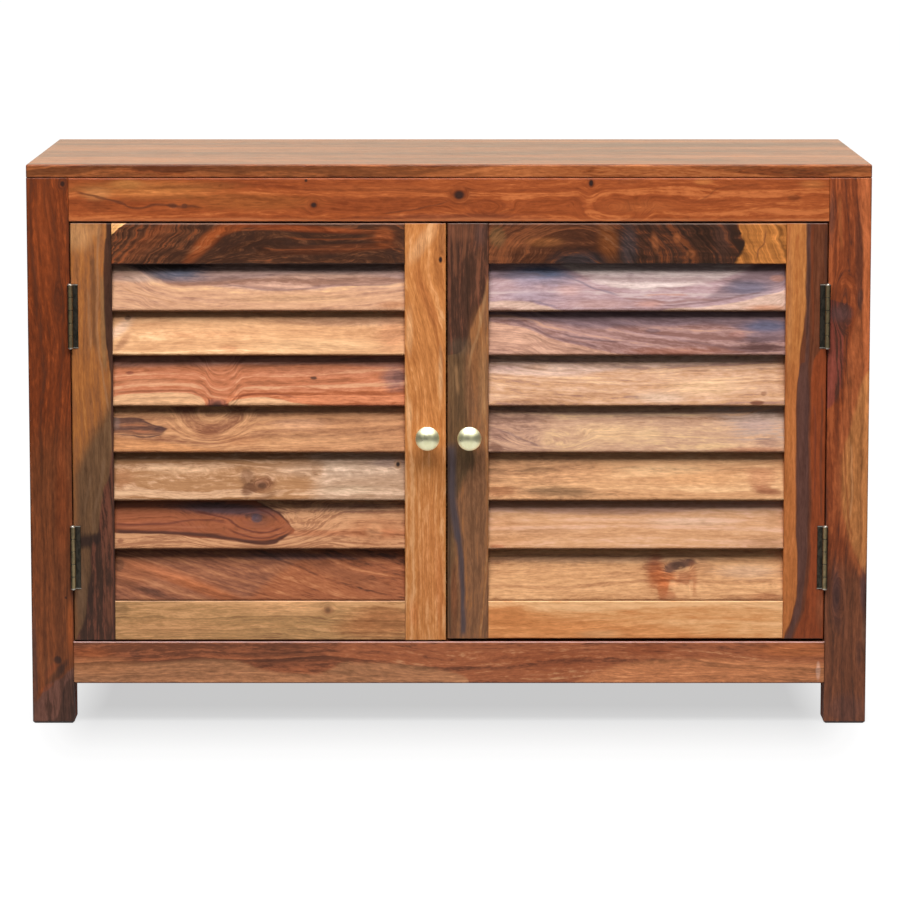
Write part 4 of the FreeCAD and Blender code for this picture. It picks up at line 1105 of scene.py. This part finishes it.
finish_louvre(
    "right_slat_2", tones=("mauve/clay", "mauve/clay", "mauve/blush", "blush/tan"), rings=100, wander=0.8,
    contrast=0.75, fibres=0.85, shift=36.4, stain=(0.78, 0.75, 0.82),
    flow=((46, 487), (88, 481), (120, 467), (189, 450), (228, 442), (299, 435), (398, 435)),
    zones=(
        ("tan/blush>sand/blush", 0.95, 2, None, ((37, 487), (47, 485), (66, 482), (88, 478), (103, 472),
            (120, 464), (151, 456), (189, 449), (222, 444), (251, 437), (299, 431))),
        ("slate/mauve", 0.75, 7, ((60, 494), (132, 482), (180, 476), (239, 479), (323, 480), (353, 473),
            (398, 468)), None)),
    lines=(
        ("plum/mauve", 0.75, 2.4, ((66, 487), (88, 482), (108, 473), (123, 466), (151, 459), (180, 453))),
        ("plum/mauve", 0.5, 1.8, ((228, 473), (275, 463), (323, 455), (371, 449))),
        ("blush/lilac", 0.5, 2, ((204, 474), (239, 468), (287, 463))),
        ("plum/slate", 0.5, 1.8, ((132, 470), (168, 463), (204, 459)))),
    patches=(
        (377, 479, 23.9, 7.2, "steel/slate", 0.8), (373, 466, 26.2, 7.2, "slate/mauve", 0.75),
        (368, 454, 28.6, 6, "umber/plum", 0.85), (84, 466, 28.6, 7.2, "sand/blush", 0.5),
        (168, 470, 35.8, 4.8, "mauve/blush", 0.4), (275, 449, 59.7, 4.8, "clay/copper", 0.5),
        (60, 448, 19.1, 3.6, "clay/mauve", 0.4), (243, 474, 8.4, 2.4, "plum/slate", 0.5),
        (344, 469, 9.5, 4.8, "coral/mauve", 0.4)))
finish_louvre(
    "right_slat_3", tones=("clay/blush", "tan/sand", "sand/blush", "sand/cream"), rings=90, shift=37.2,
    stain=(0.87, 0.87, 0.92),
    zones=(
        ("blush/pearl", 0.45, 6, ((37, 423), (132, 420), (204, 427), (299, 432), (398, 435)), None),),
    patches=(
        (367, 388, 7.2, 2.9, "clay/russet", 0.85), (375, 399, 3.6, 2.4, "clay", 0.6),
        (108, 391, 33.4, 6, "clay/tan", 0.65), (180, 398, 26.2, 3.6, "clay/tan", 0.5),
        (305, 406, 40.6, 9.5, "cream", 0.45), (251, 394, 28.6, 6, "cream/pearl", 0.5),
        (66, 429, 21.5, 3.6, "mauve/blush", 0.6), (106, 430, 14.3, 3.6, "clay/tan", 0.4),
        (397, 418, 6, 16.7, "clay/tan", 0.5)))
finish_louvre(
    "right_slat_4", tones=("clay/tan", "tan/blush", "sand/blush", "sand/cream"), rings=90, contrast=0.85,
    shift=38.1, stain=(0.79, 0.81, 0.82),
    burls=((117, 345, 26.2, 9.5, 2.4),),
    zones=(
        ("clay/mauve>clay/blush", 0.7, 36, None, ((127, 324), (114, 354), (115, 383))),
        ("blush/pearl>blush/tan", 0.6, 40, ((347, 324), (335, 354), (299, 383)), None)),
    lines=(
        ("tan/blush", 0.6, 2.2, ((49, 361), (78, 352), (108, 338), (132, 330))),
        ("plum/mauve", 0.5, 2, ((55, 356), (84, 346), (114, 333)))),
    patches=(
        (56, 334, 9.5, 6, "plum/clay", 0.7, -30), (60, 350, 14.3, 7.2, "mauve/clay", 0.6, -30),
        (192, 351, 40.6, 9.5, "sand/cream", 0.4), (239, 351, 14.3, 6, "cream", 0.5),
        (380, 339, 14.3, 7.2, "clay/mauve", 0.6), (368, 361, 19.1, 7.2, "lilac/blush", 0.5),
        (365, 331, 43, 3.6, "clay/copper", 0.6), (228, 374, 107.4, 3.6, "mauve/smoke", 0.4),
        (266, 362, 16.7, 3.6, "mauve/tan", 0.4)))
finish_louvre(
    "right_slat_5", tones=("clay/moss", "tan", "tan/sand", "sand/cream"), rings=90, wander=1.2,
    contrast=0.75, fibres=0.9, shift=39.4, stain=(0.98, 0.96, 0.95),
    zones=(
        ("clay/tan>tan", 0.55, 34, None, ((180, 268), (168, 296), (170, 324))),),
    patches=(
        (132, 281, 38.2, 7.2, "drab/moss", 0.55, -4), (102, 306, 19.1, 4.8, "clay/moss", 0.5),
        (60, 282, 16.7, 6, "clay/amber", 0.6), (377, 283, 16.7, 4.8, "russet/clay", 0.8, -10),
        (373, 297, 16.7, 10.7, "clay/coral", 0.5), (257, 306, 47.7, 6, "cream", 0.45),
        (299, 296, 47.7, 7.2, "honey/sand", 0.4), (80, 293, 19.1, 4.8, "tan/sand", 0.5)))
finish_louvre(
    "right_slat_6", tones=("tan", "tan/sand", "sand/blush", "sand/blush"), rings=80, wander=0.7,
    contrast=0.8, fibres=0.8, shift=40.3, stain=(0.98, 0.96, 0.99),
    zones=(
        ("mauve/clay", 0.55, 5, ((37, 257), (132, 254), (180, 252), (251, 254), (299, 258),
            (398, 260)), None),),
    patches=(
        (72, 221, 35.8, 7.2, "tan/honey", 0.5), (60, 241, 23.9, 7.2, "tan/honey", 0.4),
        (108, 234, 47.7, 3.6, "clay/tan", 0.3), (58, 215, 9.5, 2.4, "coral/rust", 0.6),
        (377, 219, 28.6, 4.8, "clay/tan", 0.6), (389, 246, 11.9, 9.5, "tan", 0.5),
        (287, 244, 47.7, 4.8, "sand/pearl", 0.4)))
finish_louvre(
    "right_slat_7", tones=("clay/tan", "tan", "tan/sand", "sand"), rings=90, contrast=0.8, fibres=1.2,
    shift=41.5, stain=(1.02, 0.98, 0.93),
    eyes=((275, 190, 10.7, 6, 3, 0.5),),
    patches=(
        (247, 185, 9.5, 19.1, "russet/copper", 0.9), (261, 175, 11.9, 14.3, "russet/copper>copper", 0.85),
        (268, 189, 11.3, 6, "plum/ink", 1, 25), (284, 193, 10.7, 4.8, "plum/ink", 1, 8),
        (242, 189, 10.7, 6, "clay/russet", 0.6), (282, 176, 8.4, 8.4, "rust/clay", 0.7),
        (256, 163, 6, 11.9, "copper/rust", 0.6), (292, 175, 4.8, 19.1, "clay/copper", 0.6),
        (306, 189, 11.9, 7.2, "clay/tan", 0.5), (268, 166, 4.8, 6, "cream/sand", 0.4),
        (290, 163, 3, 9.5, "cream/sand", 0.35), (380, 153, 16.7, 4.8, "copper/clay", 0.5),
        (180, 198, 119.3, 4.8, "mauve/smoke", 0.35), (359, 184, 35.8, 7.2, "sand/pearl", 0.4),
        (199, 179, 19.1, 3.6, "clay/tan", 0.45), (263, 155, 9.5, 4.8, "copper/clay", 0.6)))
print(len(bpy.data.materials), "materials so far")

# %% [markdown]
# ## Metal
# The hinges are brass that has been darkened to look old. Their leaves are much darker than
# their knuckles, and every hinge has a painted highlight at its top and bottom ends. The screws
# and catches are steel, and the knobs are bright yellow brass. A piece gets the metal of the
# first word that fits its name, so a knob's screw is steel.

# %% Finish the metal
hinge_long = 76
hinge_half = hinge_long / 2 * mm
leaves_low, leaves_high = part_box("left_leg_leaves")
hinge_heights = (leaves_low.z + hinge_half, leaves_high.z - hinge_half)
print("hinge middles at", [round(height, 4) for height in hinge_heights])
cloud_waves = (220, 220, 120)
highlight_from, highlight_full, highlight_share = hinge_half - 1.4 * mm, hinge_half - 0.4 * mm, 0.9


def metal(name, colour, worn, roughness, painted_highlight=None):
    """A metal whose tone drifts at random between a clean colour and a wear colour, with a painted
    highlight at a hinge's ends.
    """
    material, tree, shader = new_material(name)
    place = node(tree, "ShaderNodeTexCoord").outputs["Object"]
    cloud = noise(tree, place, cloud_waves, 3, 0.6)
    finish = blend(tree, ramp(tree, cloud, 0.4, 0.65), colour, worn)
    # Painted highlight: each hinge's top and bottom ends are blended towards a bright colour.
    if painted_highlight:
        height = node(tree, "ShaderNodeSeparateXYZ", {0: place}).outputs["Z"]
        gaps = [maths(tree, "SUBTRACT", height, middle) for middle in hinge_heights]
        away = maths(tree, "MINIMUM", *(maths(tree, "ABSOLUTE", gap) for gap in gaps))
        end_highlight = ramp(tree, away, highlight_from, highlight_full, 0, highlight_share)
        finish = blend(tree, end_highlight, finish, painted_highlight)
    tree.links.new(finish, shader.inputs["Base Color"])
    tree.links.new(ramp(tree, cloud, 0.3, 0.7, roughness, roughness + 0.12), shader.inputs["Roughness"])
    shader.inputs["Metallic"].default_value = 1
    return material


leaf_brass = metal("antique_brass", (0.075, 0.065, 0.05, 1), (0.03, 0.028, 0.022, 1), 0.4,
                   (0.45, 0.42, 0.36, 1))
knuckle_brass = metal("antique_brass_knuckles", (0.36, 0.27, 0.14, 1), (0.2, 0.16, 0.09, 1), 0.34,
                      (0.85, 0.8, 0.7, 1))
steel = metal("steel", (0.55, 0.54, 0.52, 1), (0.42, 0.41, 0.4, 1), 0.34)
brass = metal("polished_brass", (0.88, 0.84, 0.55, 1), (0.83, 0.8, 0.5, 1), 0.27)
metal_words = {"leaves": leaf_brass, "pins": knuckle_brass, "screw": steel, "strike": steel,
               "magnet": steel, "knob": brass}
for name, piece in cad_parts.items():
    finishes = [finish for word, finish in metal_words.items() if word in name]
    if finishes:
        piece.data.materials.clear()
        piece.data.materials.append(finishes[0])

# %% [markdown]
# ### Turned pieces
# The knobs and the knuckles of the hinges are turned, so each is an outline swept round an
# axis. An outline is a list of pairs in millimetres: the radius, then the distance along the
# axis. Edges sharper than 30 degrees stay crisp and the rest are shaded smooth.

# %% Sweep an outline round an axis
crisp_angle = math.radians(30)


def turned(name, outlines, axis, finish, body, facets):
    """Sweep outlines round an axis. Each is its middle, its pairs and whether they close."""
    shape = bmesh.new()
    side = Vector((0, 0, 1)) if abs(axis.z) < 0.5 else Vector((1, 0, 0))
    for middle, outline, closed in outlines:
        ring = [shape.verts.new(middle + side * (r * mm) + axis * (a * mm)) for r, a in outline]
        edges = [shape.edges.new(pair) for pair in zip(ring, ring[1:])]
        if closed:
            edges.append(shape.edges.new((ring[-1], ring[0])))
        bmesh.ops.spin(shape, geom=ring + edges, cent=middle, axis=axis, angle=2 * math.pi,
                       steps=facets, use_merge=True)
    bmesh.ops.remove_doubles(shape, verts=shape.verts, dist=1e-6)
    bmesh.ops.recalc_face_normals(shape, faces=shape.faces)
    for face in shape.faces:
        face.smooth = True
    for edge in shape.edges:
        if edge.calc_face_angle(0) > crisp_angle:
            edge.smooth = False
    mesh = bpy.data.meshes.new(name)
    shape.to_mesh(mesh)
    shape.free()
    mesh.materials.append(finish)
    piece = bpy.data.objects.new(name, mesh)
    bpy.context.collection.objects.link(piece)
    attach(piece, body)
    return piece


# %% [markdown]
# ### The knobs
# From the door, a knob has a flat foot, a waist that is a parabola, a short rim and a domed
# face. The dome is part of a ball, and its radius follows from its width and its height.

# %% Turn the knobs
foot_radius, foot_high = 8.5, 0.8
waist_radius, waist_from, waist_long = 5, 2, 18.4
waist_ends = (7.3, 13.6)
waist_steps, dome_steps, knob_facets = 12, 24, 96
rim_radius, rim_from, rim_to = 14.2, 20.8, 22.1
face_radius, dome_high, knob_high = 13.9, 6.1, 28.5

knob_outline = [(0, 0), (foot_radius, 0), (foot_radius, foot_high), (waist_ends[0], waist_from)]
for step in range(1, waist_steps + 1):
    share = step / waist_steps
    flare = waist_ends[0 if share < 0.5 else 1] - waist_radius
    knob_outline.append((waist_radius + flare * (2 * share - 1) ** 2, waist_from + waist_long * share))
knob_outline += [(14.0, 20.5), (rim_radius, rim_from), (rim_radius, rim_to), (face_radius, 22.4)]
ball_radius = (face_radius ** 2 + dome_high ** 2) / (2 * dome_high)
for step in range(1, dome_steps + 1):
    angle = math.asin(face_radius / ball_radius) * (1 - step / dome_steps)
    knob_outline.append((ball_radius * math.sin(angle), knob_high - ball_radius * (1 - math.cos(angle))))
for side in ("left", "right"):
    low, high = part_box(side + "_knob")
    middle = Vector(((low.x + high.x) / 2, high.y, (low.z + high.z) / 2))
    knob = turned(side + "_turned_knob", [(middle, knob_outline, False)], Vector((0, -1, 0)),
                  brass, side + "_door", knob_facets)
    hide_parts(side + "_knob")
print("knob outline of", len(knob_outline), "points")

# %% [markdown]
# ### The knuckles
# Each hinge has five knuckles round one pin. The leg's leaf owns the first, third and fifth,
# and the door's leaf the two between them. They are thin sleeves over the faceted barrels.

# %% Turn the knuckles
knuckles, knuckle_facets = 5, 40
knuckle_long = hinge_long / knuckles
half_gap = 0.15
pin_radius = 2.3
bore_radius, end_radius, sleeve_radius = 2.0, 2.75, 3.12
chamfer_long = 0.45
for side in ("left", "right"):
    low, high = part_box("hinge_pins")
    axis_x = low.x + pin_radius * mm if side == "left" else high.x - pin_radius * mm
    axis_y = (low.y + high.y) / 2
    for owner, (leaf, body) in enumerate((("leg", "case"), ("door", side + "_door"))):
        sleeves = []
        for hinge_middle in hinge_heights:
            for number in range(owner, knuckles, 2):
                base = number * knuckle_long - hinge_long / 2
                start = base + half_gap * (number > 0)
                end = base + knuckle_long - half_gap * (number < knuckles - 1)
                outline = [(bore_radius, start), (end_radius, start),
                           (sleeve_radius, start + chamfer_long), (sleeve_radius, end - chamfer_long),
                           (end_radius, end), (bore_radius, end)]
                sleeves.append((Vector((axis_x, axis_y, hinge_middle)), outline, True))
        turned(f"{side}_{leaf}_knuckles", sleeves, Vector((0, 0, 1)), knuckle_brass, body,
               knuckle_facets)
print(2 * knuckles, "knuckles on each side")
